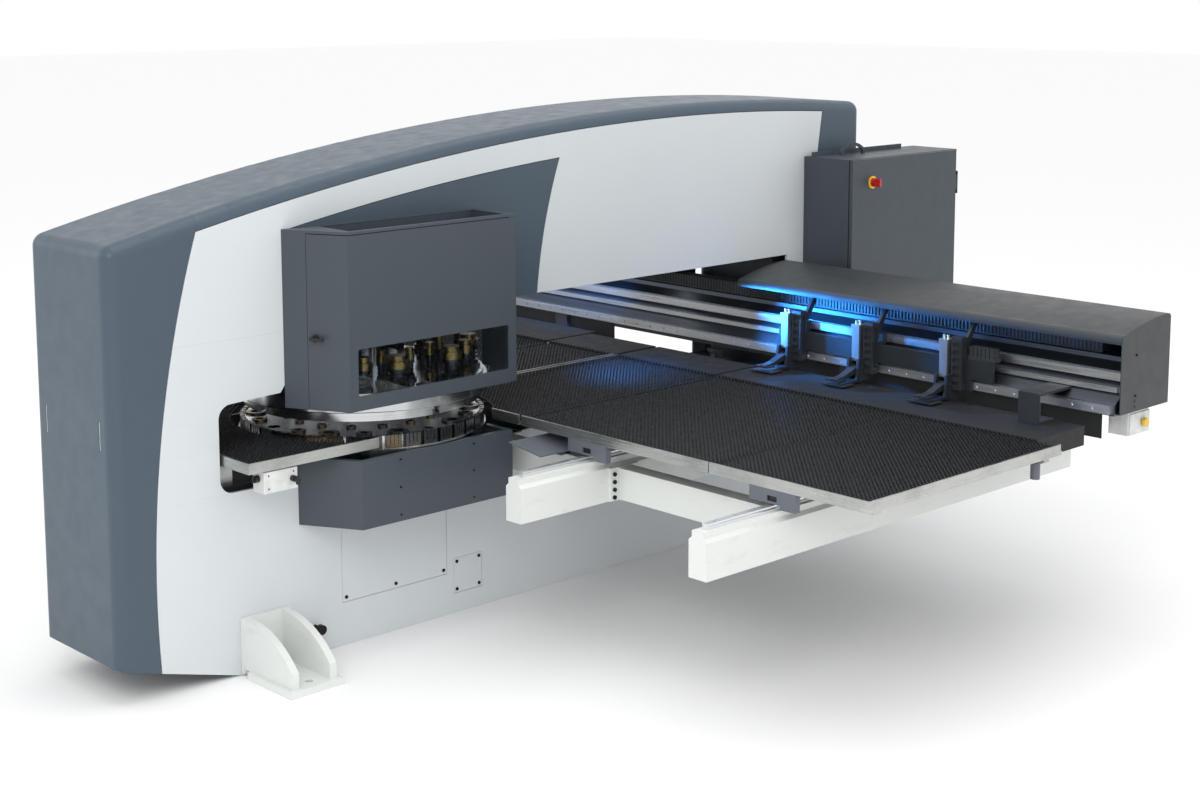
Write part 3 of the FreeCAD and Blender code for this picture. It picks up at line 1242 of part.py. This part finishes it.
def build_nodes():
    front_cover, top_cover, rear_cover = outer_covers()
    nodes = {
        "main_frame": main_frame(),
        "front_cover": front_cover,
        "top_cover": top_cover,
        "rear_cover": rear_cover,
        "right_side_panel": side_panel("right"),
        "left_side_panel": side_panel("left"),
        "ram_covers": both(ram_cover),
        "access_panels": both(access_panels),
        "feet": both(lambda side: group([foot(side, row) for row in FOOT_ROWS])),
        "screws_and_bolts": group(both(cover_screws).Solids + both(flange_bolts).Solids),
        "upper_turret": upper_turret(),
        "lower_turret": lower_turret(),
        "punch_holders": punch_holders(),
        "dies": dies(),
        "bearings": group(turret_bearings().Solids + y_screw_bearings().Solids),
        "ram_cylinder": ram_cylinder(),
        "ram": ram(),
        "turret_guards": group([turret_guard(), closed_guard()]),
        "guard_door": guard_door(),
        "guard_window": guard_window_pane(),
        "guard_latch": guard_latch(),
        "hinge_pins": group(guard_hinge_pins().Solids + cabinet_hinge_pins().Solids),
        "lower_guards": group([lower_guard(), mirrored(lower_guard())]),
        "fixed_table_frames": fixed_table_frames(),
        "fixed_brushes": fixed_brushes(),
        "beams": both(lambda side: group([beam(side, 0), beam(side, 1)])),
        "guide_rails": both(lambda side: group([guide_rail(side, 0), guide_rail(side, 1)])),
        "cross_beams": both(cross_beams),
        "chute_plates": both(chute_plate),
        "ball_blocks": both(bearing_blocks),
        "table_brackets": both(table_brackets),
        "carriage_beam": carriage_beam(),
        "carriage_links": carriage_links(),
        "x_rails": group([lower_x_rail(), upper_x_rail(), x_rack()]),
        "cable_ducts": group([wiring_duct(), cable_trough()]),
        "hood_ends": both(hood_end),
        "x_saddle": x_saddle(),
        "clamp_bodies": clamp_bodies(),
        "clamp_cylinders": clamp_cylinders(),
        "valve_island": valve_island(),
        "y_screw": y_screw(),
        "hydraulic_unit": hydraulic_unit(),
        "cabinet_shell": cabinet_shell(),
        "cabinet_door": cabinet_door(),
        "main_switch_plate": main_switch_plate(),
        "main_switch_knob": main_switch_knob(),
        "estop_box": estop_box(),
        "estop_button": estop_button(),
        "front_control_box": front_control_box(),
        "control_lever_a": control_lever_a(),
        "control_lever_b": control_lever_b(),
    }
    for side in ("right", "left"):
        nodes[side + "_wing_frame"] = wing_frame(side)
        nodes[side + "_wing_brushes"] = wing_brushes(side)
        nodes[side + "_hood"] = hood(side)
    for name, x in zip(("inner", "middle", "outer"), CLAMP_X):
        nodes["clamp_jaw_" + name] = clamp_jaw(x)
    return nodes


def main():
    os.makedirs("parts", exist_ok=True)
    for name, shape in build_nodes().items():
        shape.exportStep("parts/%s.step" % name)
        print("%-24s solids %3d  volume %9.1f l  %s" % (name, len(shape.Solids), shape.Volume / 1e6, shape.isValid()))


main()
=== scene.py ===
"""Looks for the turret punch press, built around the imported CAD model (metres, +Z up)."""
import json
import math
import random

import bmesh
import bpy
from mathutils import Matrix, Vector


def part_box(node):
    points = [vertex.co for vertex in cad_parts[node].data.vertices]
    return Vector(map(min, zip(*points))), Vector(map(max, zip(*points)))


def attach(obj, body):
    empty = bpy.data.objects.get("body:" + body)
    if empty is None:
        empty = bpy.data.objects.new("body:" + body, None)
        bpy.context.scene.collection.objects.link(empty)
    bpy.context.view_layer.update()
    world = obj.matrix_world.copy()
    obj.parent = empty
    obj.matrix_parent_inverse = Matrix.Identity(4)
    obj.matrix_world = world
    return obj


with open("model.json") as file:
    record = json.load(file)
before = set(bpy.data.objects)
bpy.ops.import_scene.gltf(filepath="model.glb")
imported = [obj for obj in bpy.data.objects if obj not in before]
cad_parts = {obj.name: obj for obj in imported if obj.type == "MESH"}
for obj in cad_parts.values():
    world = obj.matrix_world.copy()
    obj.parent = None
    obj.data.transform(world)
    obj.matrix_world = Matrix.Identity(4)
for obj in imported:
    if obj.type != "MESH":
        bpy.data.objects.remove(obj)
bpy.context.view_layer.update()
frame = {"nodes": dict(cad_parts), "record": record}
NODES = frame["nodes"]
scene = bpy.context.scene
scene.view_settings.view_transform = "Standard"

TURRET_Y = -0.475
PASS_LINE = 0.946


# ------------------------------------------------------------------ camera, floor, lights
def add_camera():
    data = bpy.data.cameras.new("camera")
    data.lens = 56.77
    data.sensor_width = 36.0
    data.shift_y = -0.130
    data.clip_end = 200.0
    camera = bpy.data.objects.new("camera", data)
    camera.location = (6.776, -5.445, 2.854)
    camera.rotation_euler = [math.radians(a) for a in (90.0 - 7.981, 0.087, 46.424)]
    scene.collection.objects.link(camera)
    scene.camera = camera


def add_area(name, place, target, size, power, colour=(1.0, 1.0, 1.0), spread=180.0):
    data = bpy.data.lights.new(name, "AREA")
    data.shape = "RECTANGLE"
    data.size, data.size_y = size
    data.energy = power
    data.color = colour
    data.spread = math.radians(spread)
    lamp = bpy.data.objects.new(name, data)
    lamp.location = place
    aim = Vector(target) - Vector(place)
    lamp.rotation_euler = aim.to_track_quat("-Z", "Y").to_euler()
    scene.collection.objects.link(lamp)


def add_studio():
    world = bpy.data.worlds.new("studio")
    world.use_nodes = True
    background = world.node_tree.nodes["Background"]
    background.inputs["Color"].default_value = (1.0, 1.0, 1.0, 1.0)
    background.inputs["Strength"].default_value = 1.0
    scene.world = world
    add_area("key", (6.0, -7.0, 7.0), (0.8, 0.2, 0.8), (4.0, 4.0), 230)
    add_area("top", (1.5, 0.8, 7.5), (1.0, 0.4, 0.9), (7.0, 5.0), 130)
    add_area("fill_left", (-6.0, -6.5, 4.0), (0.0, 0.0, 1.0), (4.0, 4.0), 50)
    blue = (0.03, 0.30, 1.0)
    add_area("work_light_a", (0.18, 1.42, 1.24), (1.05, 1.68, 1.14), (0.20, 0.05), 13, blue, 52.0)
    add_area("work_light_b", (-0.18, 1.42, 1.24), (-1.05, 1.68, 1.14), (0.20, 0.05), 6, blue, 52.0)
    add_area("work_light_c", (0.05, 0.95, 1.38), (0.20, 1.02, 0.93), (0.30, 0.20), 4, blue, 80.0)


def add_floor():
    mesh = bpy.data.meshes.new("floor")
    half = 60.0
    corners = [(-half, -half, 0), (half, -half, 0), (half, half, 0), (-half, half, 0)]
    mesh.from_pydata(corners, [], [(0, 1, 2, 3)])
    floor = bpy.data.objects.new("floor", mesh)
    floor.location.z = -0.0005
    scene.collection.objects.link(floor)
    mat = bpy.data.materials.new("floor_white")
    mat.use_nodes = True
    shader = mat.node_tree.nodes["Principled BSDF"]
    shader.inputs["Base Color"].default_value = (0.96, 0.96, 0.96, 1.0)
    shader.inputs["Roughness"].default_value = 0.9
    shader.inputs["Specular IOR Level"].default_value = 0.1
    mesh.materials.append(mat)


# ------------------------------------------------------------------ procedural materials
def linear(rgb):
    out = []
    for value in rgb:
        v = value / 255.0
        out.append(v / 12.92 if v <= 0.04045 else ((v + 0.055) / 1.055) ** 2.4)
    return tuple(out) + (1.0,)


class Look:
    """One Principled material and the nodes that feed it."""

    def __init__(self, name, **constants):
        self.material = bpy.data.materials.new(name)
        self.material.use_nodes = True
        self.tree = self.material.node_tree
        self.shader = self.tree.nodes["Principled BSDF"]
        for socket, value in constants.items():
            self.shader.inputs[socket.replace("_", " ")].default_value = value

    def node(self, kind, **settings):
        made = self.tree.nodes.new(kind)
        for key, value in settings.items():
            setattr(made, key, value)
        return made

    def link(self, source, target):
        self.tree.links.new(source, target)

    def coords(self, scale=(1.0, 1.0, 1.0), offset=(0.0, 0.0, 0.0)):
        place = self.node("ShaderNodeTexCoord")
        mapping = self.node("ShaderNodeMapping")
        mapping.inputs["Scale"].default_value = scale
        mapping.inputs["Location"].default_value = offset
        self.link(place.outputs["Object"], mapping.inputs["Vector"])
        return mapping.outputs["Vector"]

    def noise(self, vector, scale, detail=2.0, rough=0.5):
        made = self.node("ShaderNodeTexNoise")
        made.inputs["Scale"].default_value = scale
        made.inputs["Detail"].default_value = detail
        made.inputs["Roughness"].default_value = rough
        self.link(vector, made.inputs["Vector"])
        return made.outputs["Fac"]

    def ramp(self, factor, stops):
        made = self.node("ShaderNodeValToRGB")
        band = made.color_ramp
        while len(band.elements) < len(stops):
            band.elements.new(0.5)
        for element, (place, colour) in zip(band.elements, stops):
            element.position = place
            element.color = colour
        self.link(factor, made.inputs["Fac"])
        return made.outputs["Color"]

    def span(self, factor, low, high, start=0.0, end=1.0):
        made = self.node("ShaderNodeMapRange")
        made.inputs["From Min"].default_value = start
        made.inputs["From Max"].default_value = end
        made.inputs["To Min"].default_value = low
        made.inputs["To Max"].default_value = high
        self.link(factor, made.inputs["Value"])
        return made.outputs["Result"]

    def mix(self, factor, a, b, blend="MIX"):
        made = self.node("ShaderNodeMix", data_type="RGBA", blend_type=blend)
        for socket, value in ((made.inputs["Factor"], factor), (made.inputs[6], a), (made.inputs[7], b)):
            if hasattr(value, "is_linked"):
                self.link(value, socket)
            else:
                socket.default_value = value
        return made.outputs[2]

    def bump(self, height, strength, distance, edge=0.0):
        made = self.node("ShaderNodeBump")
        made.inputs["Strength"].default_value = strength
        made.inputs["Distance"].default_value = distance
        self.link(height, made.inputs["Height"])
        if edge:
            soft = self.node("ShaderNodeBevel", samples=3)
            soft.inputs["Radius"].default_value = edge
            self.link(soft.outputs["Normal"], made.inputs["Normal"])
        self.link(made.outputs["Normal"], self.shader.inputs["Normal"])

    def colour(self, source):
        self.link(source, self.shader.inputs["Base Color"])

    def roughness(self, source):
        self.link(source, self.shader.inputs["Roughness"])


def shade(colour, gain):
    return tuple(min(1.0, c * gain) for c in colour[:3]) + (1.0,)


def paint(name, rgb, rough=0.4, tone=0.08, peel=0.10, edge=0.0015, grime=0.0, specular=0.5):
    """Stove-enamelled sheet: slow tonal drift, fine orange peel and softened edges."""
    look = Look(name, Specular_IOR_Level=specular)
    base = linear(rgb)
    place = look.coords()
    drift = look.noise(place, 1.7, 4.0, 0.55)
    colour = look.ramp(drift, [(0.25, shade(base, 1.0 - tone)), (0.75, shade(base, 1.0 + tone))])
    if grime:
        dirt = look.noise(look.coords((3.0, 3.0, 9.0)), 2.3, 6.0, 0.65)
        mask = look.span(dirt, 0.0, grime, 0.56, 0.78)
        colour = look.mix(mask, colour, shade(base, 0.45))
    look.colour(colour)
    patch = look.noise(place, 14.0, 3.0)
    look.roughness(look.span(patch, rough - 0.06, rough + 0.06, 0.3, 0.7))
    look.bump(look.noise(place, 420.0, 2.0), peel, 0.0006, edge)
    return look.material


def brushed(name, rgb, rough=0.3, grain=(4.0, 4.0, 500.0), tone=0.15, bump=0.15, edge=0.0008, stain=0.0):
    """Metal with fine parallel marks; the grain's small scale is the direction of the marks."""
    look = Look(name, Metallic=1.0)
    base = linear(rgb)
    marks = look.noise(look.coords(grain), 1.0, 3.0, 0.6)
    colour = look.ramp(marks, [(0.3, shade(base, 1.0 - tone)), (0.7, shade(base, 1.0 + tone))])
    if stain:
        cloud = look.noise(look.coords(), 5.0, 6.0, 0.65)
        colour = look.mix(look.span(cloud, 0.0, stain, 0.45, 0.7), colour, shade(base, 0.35))
    look.colour(colour)
    look.roughness(look.span(marks, rough - 0.07, rough + 0.10, 0.3, 0.7))
    look.bump(marks, bump, 0.0004, edge)
    return look.material


def turned(name, rgb, rough=0.25):
    """Steel turned about the turret's axis: rings of fine tool marks."""
    look = Look(name, Metallic=1.0)
    base = linear(rgb)
    place = look.coords(offset=(0.0, -TURRET_Y, 0.0))
    split = look.node("ShaderNodeSeparateXYZ")
    look.link(place, split.inputs["Vector"])
    flat = look.node("ShaderNodeCombineXYZ")
    look.link(split.outputs["X"], flat.inputs["X"])
    look.link(split.outputs["Y"], flat.inputs["Y"])
    far = look.node("ShaderNodeVectorMath", operation="LENGTH")
    look.link(flat.outputs["Vector"], far.inputs[0])
    rings = look.node("ShaderNodeCombineXYZ")
    look.link(far.outputs["Value"], rings.inputs["X"])
    look.link(split.outputs["Z"], rings.inputs["Z"])
    marks = look.noise(rings.outputs["Vector"], 700.0, 2.0, 0.6)
    cloud = look.noise(look.coords(), 9.0, 5.0, 0.6)
    colour = look.ramp(marks, [(0.3, shade(base, 0.8)), (0.7, shade(base, 1.15))])
    colour = look.mix(look.span(cloud, 0.0, 0.5, 0.5, 0.75), colour, shade(base, 0.45))
    look.colour(colour)
    look.roughness(look.span(cloud, rough - 0.06, rough + 0.12, 0.3, 0.7))
    look.bump(marks, 0.2, 0.0003, 0.001)
    return look.material


SLEEVE_TOP = 1.150           # heights where the punches change colour
HEAD_FOOT = 1.215


def banded(name):
    """Tooling: dark hardened bodies, with brass-coloured heads above one height."""
    look = Look(name, Metallic=1.0)
    split = look.node("ShaderNodeSeparateXYZ")
    look.link(look.coords(), split.inputs["Vector"])
    marks = look.noise(look.coords((60.0, 60.0, 700.0)), 1.0, 3.0, 0.6)
    tint = look.noise(look.coords(), 7.0, 1.0)
    steel = look.ramp(tint, [(0.50, linear((84, 86, 90))), (0.66, linear((122, 106, 74)))])
    dark = look.mix(look.span(split.outputs["Z"], 0.0, 1.0, SLEEVE_TOP, SLEEVE_TOP + 0.001), steel,
                    linear((70, 72, 76)))
    band = look.mix(look.span(split.outputs["Z"], 0.0, 1.0, HEAD_FOOT, HEAD_FOOT + 0.001), dark,
                    linear((146, 124, 80)))
    look.colour(look.mix(look.span(marks, 0.0, 0.35, 0.4, 0.7), band, linear((40, 40, 42))))
    look.roughness(look.span(marks, 0.22, 0.40, 0.3, 0.7))
    look.bump(marks, 0.15, 0.0004, 0.0008)
    return look.material


def moulded(name, rgb, rough=0.5, grain=900.0, peel=0.15, edge=0.0008, coat=0.0):
    """Moulded plastic with a fine spark-eroded texture."""
    look = Look(name, Coat_Weight=coat, Coat_Roughness=0.08)
    base = linear(rgb)
    place = look.coords()
    drift = look.noise(place, 25.0, 4.0)
    look.colour(look.ramp(drift, [(0.3, shade(base, 0.9)), (0.7, shade(base, 1.12))]))
    look.roughness(look.span(drift, rough - 0.05, rough + 0.08, 0.3, 0.7))
    look.bump(look.noise(place, grain, 1.0), peel, 0.0003, edge)
    return look.material


def glass(name):
    look = Look(name, Transmission_Weight=1.0, IOR=1.49)
    look.shader.inputs["Base Color"].default_value = (0.80, 0.86, 0.90, 1.0)
    smear = look.noise(look.coords((3.0, 3.0, 8.0)), 4.0, 5.0)
    look.roughness(look.span(smear, 0.0, 0.06, 0.4, 0.7))
    return look.material


MATERIALS = {
    "dark_cover": paint("dark_cover", (66, 81, 94), 0.40, tone=0.03),
    "light_panel": paint("light_panel", (208, 213, 216), 0.45, tone=0.02),
    "guard_paint": paint("guard_paint", (62, 70, 78), 0.42, tone=0.03),
    "frame_paint": paint("frame_paint", (54, 62, 70), 0.5, grime=0.4),
    "white_paint": paint("white_paint", (224, 227, 224), 0.42, tone=0.02, grime=0.22),
    "cabinet_paint": paint("cabinet_paint", (58, 66, 74), 0.45, tone=0.03),
    "hood_paint": paint("hood_paint", (50, 54, 57), 0.42, tone=0.03),
    "grey_paint": paint("grey_paint", (100, 105, 114), 0.45, grime=0.3),
    "turret_steel": turned("turret_steel", (192, 194, 196), 0.16),
    "tool_steel": banded("tool_steel"),
    "rail_steel": brushed("rail_steel", (232, 234, 236), 0.34, (4.0, 300.0, 300.0), tone=0.04,
                          bump=0.05),
    "bolt_steel": brushed("bolt_steel", (44, 44, 46), 0.42, (200.0, 200.0, 200.0)),
    "beam_aluminium": brushed("beam_aluminium", (112, 118, 127), 0.38, (3.0, 500.0, 500.0), tone=0.08),
    "edge_aluminium": brushed("edge_aluminium", (190, 191, 188), 0.30, (6.0, 6.0, 600.0), stain=0.4),
    "brush_board": moulded("brush_board", (16, 17, 19), 0.6),
    "clear_window": glass("clear_window"),
    "black_plastic": moulded("black_plastic", (26, 26, 28), 0.45),
    "duct_grey": moulded("duct_grey", (54, 58, 62), 0.5),
    "clamp_steel": paint("clamp_steel", (44, 48, 54), 0.4, peel=0.3, grime=0.3),
    "cylinder_white": brushed("cylinder_white", (220, 222, 222), 0.35, (300.0, 300.0, 5.0), tone=0.04),
    "box_white": moulded("box_white", (216, 218, 216), 0.4),
    "switch_yellow": moulded("switch_yellow", (232, 190, 36), 0.3, coat=0.5),
    "switch_red": moulded("switch_red", (176, 30, 26), 0.3, coat=0.5),
    "estop_red": moulded("estop_red", (224, 182, 34), 0.3, coat=0.5),
}


def paint_nodes():
    for subpart in frame["record"]["subparts"]:
        for slot in NODES[subpart["node"]].material_slots:
            slot.material = MATERIALS[subpart["material_slot"]]


# ------------------------------------------------------------------ brush tables
TUFT_PITCH = 0.022
TUFT_SIDES = 5
FILAMENTS = 5


def tuft_shape(rng, height):
    """Points and faces of one tuft: a tapered core with loose filaments round it."""
    points, faces = [], []

    def prong(x, y, base, tip, lean_x, lean_y, sides, z_top, cap):
        start = len(points)
        spin = rng.uniform(0, 2 * math.pi)
        for level, radius in ((0.0, base), (1.0, tip)):
            for i in range(sides):
                turn = spin + 2 * math.pi * i / sides
                points.append((x + lean_x * level + radius * math.cos(turn),
                               y + lean_y * level + radius * math.sin(turn), z_top * level))
        for i in range(sides):
            j = (i + 1) % sides
            faces.append((start + i, start + j, start + sides + j, start + sides + i))
        if cap:
            faces.append(tuple(range(start + sides, start + 2 * sides)))

    prong(0, 0, 0.0026, 0.0030, rng.uniform(-0.001, 0.001), rng.uniform(-0.001, 0.001), TUFT_SIDES,
          height * 0.93, True)
    for i in range(FILAMENTS):
        turn = 2 * math.pi * (i + rng.random() * 0.5) / FILAMENTS
        away = rng.uniform(0.0010, 0.0022)
        prong(0.0022 * math.cos(turn), 0.0022 * math.sin(turn), 0.0006, 0.0004, away * math.cos(turn),
              away * math.sin(turn), 3, height * rng.uniform(0.93, 1.0), True)
    return points, faces


def brush_field(name, body, region, holes=()):
    """Tufts in a square grid over region, left out inside the round or square holes."""
    rng = random.Random(name)
    x0, x1, y0, y1, bed = region
    height = PASS_LINE - bed - 0.0005
    kinds = [tuft_shape(rng, height) for _ in range(9)]
    columns = int((x1 - x0) / TUFT_PITCH)
    rows = int((y1 - y0) / TUFT_PITCH)
    points, faces = [], []
    for i in range(columns):
        for j in range(rows):
            x = x0 + (x1 - x0) * (i + 0.5) / columns
            y = y0 + (y1 - y0) * (j + 0.5) / rows
            if any(hole(x, y) for hole in holes):
                continue
            shape, sides = rng.choice(kinds)
            start = len(points)
            points.extend((x + px, y + py, bed - 0.0002 + pz) for px, py, pz in shape)
            faces.extend(tuple(start + k for k in face) for face in sides)
    mesh = bpy.data.meshes.new(name)
    mesh.from_pydata(points, [], faces)
    mesh.materials.append(BRISTLE)
    piece = bpy.data.objects.new(name, mesh)
    scene.collection.objects.link(piece)
    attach(piece, body)


def bristle_material():
    look = Look("bristle_nylon", Specular_IOR_Level=0.5, Sheen_Weight=0.15)
    drift = look.noise(look.coords(), 260.0, 2.0)
    look.colour(look.ramp(drift, [(0.35, (0.008, 0.009, 0.011, 1)), (0.7, (0.035, 0.038, 0.045, 1))]))
    look.shader.inputs["Roughness"].default_value = 0.36
    return look.material


BRISTLE = bristle_material()


BED = 0.928                  # top of the brush boards
RIM = 0.012


def add_brushes():
    def near_turret(x, y):
        return math.hypot(x, y - TURRET_Y) < 0.592

    rear, front = 1.194, -0.070 + RIM
    for side in ("right", "left"):
        sign = 1 if side == "right" else -1
        for part, x0, x1 in (("inner", 0.624, 1.746), ("outer", 1.754, 2.560 - RIM)):
            low, high = sorted((sign * x0, sign * x1))
            brush_field(f"bristles_{side}_{part}", "y_carriage", (low, high, front, rear, BED))
    for part, x0, x1 in (("left", -0.596, -0.102 - RIM), ("right", -0.078 + RIM, 0.596)):
        brush_field(f"bristles_centre_{part}", "machine_frame", (x0, x1, front, rear, BED), (near_turret,))
    brush_field("bristles_front", "machine_frame", (-0.493, 0.493, -1.398, -0.776, BED), (near_turret,))


# ------------------------------------------------------------------ fitted details
class Shapes:
    """Collects small modelled parts into one mesh that rides with a body."""

    def __init__(self, name, body, slot, material):
        self.name, self.body, self.slot, self.material = name, body, slot, material
        self.points, self.faces = [], []

    def add(self, points, faces):
        start = len(self.points)
        self.points.extend(points)
        self.faces.extend(tuple(start + k for k in face) for face in faces)

    def turned(self, centre, axis, profile, sides=20):
        """Turned part: profile is a list of (distance along axis, radius)."""
        along = Vector(axis).normalized()
        across = along.orthogonal().normalized()
        third = along.cross(across)
        points, faces = [], []
        for step, radius in profile:
            for i in range(sides):
                turn = 2 * math.pi * i / sides
                point = Vector(centre) + along * step
                point += (across * math.cos(turn) + third * math.sin(turn)) * radius
                points.append(point)
        for level in range(len(profile) - 1):
            for i in range(sides):
                j = (i + 1) % sides
                a, b = level * sides, (level + 1) * sides
                faces.append((a + i, a + j, b + j, b + i))
        faces.append(tuple(range(sides - 1, -1, -1)))
        faces.append(tuple(range((len(profile) - 1) * sides, len(profile) * sides)))
        self.add(points, faces)

    def socket_screw(self, centre, axis, radius):
        """Button head with a recessed drive."""
        rise = radius * 0.55
        self.turned(centre, axis, [(-0.0006, radius), (rise * 0.4, radius), (rise * 0.85, radius * 0.82),
                                   (rise, radius * 0.55), (rise, radius * 0.42), (rise * 0.3, radius * 0.42)])

    def block(self, low, high, chamfer):
        """Rectangular part with chamfered edges."""
        mesh = bmesh.new()
        bmesh.ops.create_cube(mesh, size=1.0)
        size = Vector(high) - Vector(low)
        middle = (Vector(high) + Vector(low)) / 2
        for vert in mesh.verts:
            vert.co = Vector([middle[k] + vert.co[k] * size[k] for k in range(3)])
        bmesh.ops.bevel(mesh, geom=list(mesh.edges), offset=chamfer, segments=2, affect="EDGES")
        mesh.verts.index_update()
        points = [vert.co.copy() for vert in mesh.verts]
        self.add(points, [tuple(vert.index for vert in face.verts) for face in mesh.faces])
        mesh.free()

    def finish(self):
        mesh = bpy.data.meshes.new(self.name)
        mesh.from_pydata(self.points, [], self.faces)
        mesh.validate()
        mesh.materials.append(self.material)
        piece = bpy.data.objects.new(self.name, mesh)
        scene.collection.objects.link(piece)
        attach(piece, self.body)


def add_lamp_strips():
    """Milky strips behind the two slots of the front cover."""
    strips = Shapes("front_lamp_strips", "machine_frame", "box_white", MATERIALS["box_white"])
    for x in (-0.212, 0.218):
        strips.block((x - 0.0034, -1.8985, 1.031), (x + 0.0034, -1.886, 1.149), 0.0012)
    strips.finish()


DUCT_END = 2.34
FINGER_WIDTH = 0.010
FINGER_PITCH = 0.020


def add_duct_teeth():
    """Fingers of the slotted wiring duct that lies on the carriage beam."""
    teeth = Shapes("wiring_duct_fingers", "y_carriage", "duct_grey", MATERIALS["duct_grey"])
    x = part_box("cable_ducts")[0][0] + 0.06
    while x < DUCT_END:
        teeth.block((x, 1.8172, 1.222), (x + FINGER_WIDTH, 1.8212, 1.279), 0.0008)
        x += FINGER_PITCH
    teeth.finish()


def add_brush_ends():
    """Black strips that close the brush fields against the plates behind them."""
    for name, body, spans in (("brush_ends_travelling", "y_carriage", ((-2.440, -0.622), (0.622, 2.440))),
                              ("brush_ends_fixed", "machine_frame", ((-0.598, -0.103), (-0.077, 0.598)))):
        strips = Shapes(name, body, "brush_board", MATERIALS["brush_board"])
        for x0, x1 in spans:
            strips.block((x0, 1.1965, 0.9275), (x1, 1.2035, 0.9405), 0.0008)
            pitch = (x1 - x0) / math.ceil((x1 - x0) / 0.25)
            for i in range(round((x1 - x0) / pitch)):
                strips.socket_screw((x0 + (i + 0.5) * pitch, 1.2000, 0.9405), (0, 0, 1), 0.0028)
        strips.finish()


RAIL_SCREWS = 50


def add_rail_screws():
    """Screws of the front X rail and of the hood's right end plate."""
    heads = Shapes("x_rail_screws", "y_carriage", "bolt_steel", MATERIALS["bolt_steel"])
    for i in range(RAIL_SCREWS):
        heads.socket_screw((-2.465 + i * 0.1, 1.6355, 1.010), (0, -1, 0), 0.0052)
    for z in (1.060, 1.240):
        heads.socket_screw((2.5556, 1.770, z), (1, 0, 0), 0.006)
    heads.finish()


def add_cover_fixings():
    """Screws of the right lower guard and of the front control box."""
    heads = Shapes("cover_fixings", "machine_frame", "bolt_steel", MATERIALS["bolt_steel"])
    for z in (0.610, 0.730, 0.850):
        for y in (-0.700, -0.300):
            heads.socket_screw((0.5664, y, z), (1, 0, 0), 0.005)
    for y, z in ((-1.310, 0.822), (-1.310, 0.876), (-1.190, 0.876)):
        heads.socket_screw((0.4942, y, z), (1, 0, 0), 0.0035)
    heads.finish()


add_camera()
add_studio()
add_floor()
paint_nodes()
add_brushes()
add_lamp_strips()
add_duct_teeth()
add_brush_ends()
add_rail_screws()
add_cover_fixings()
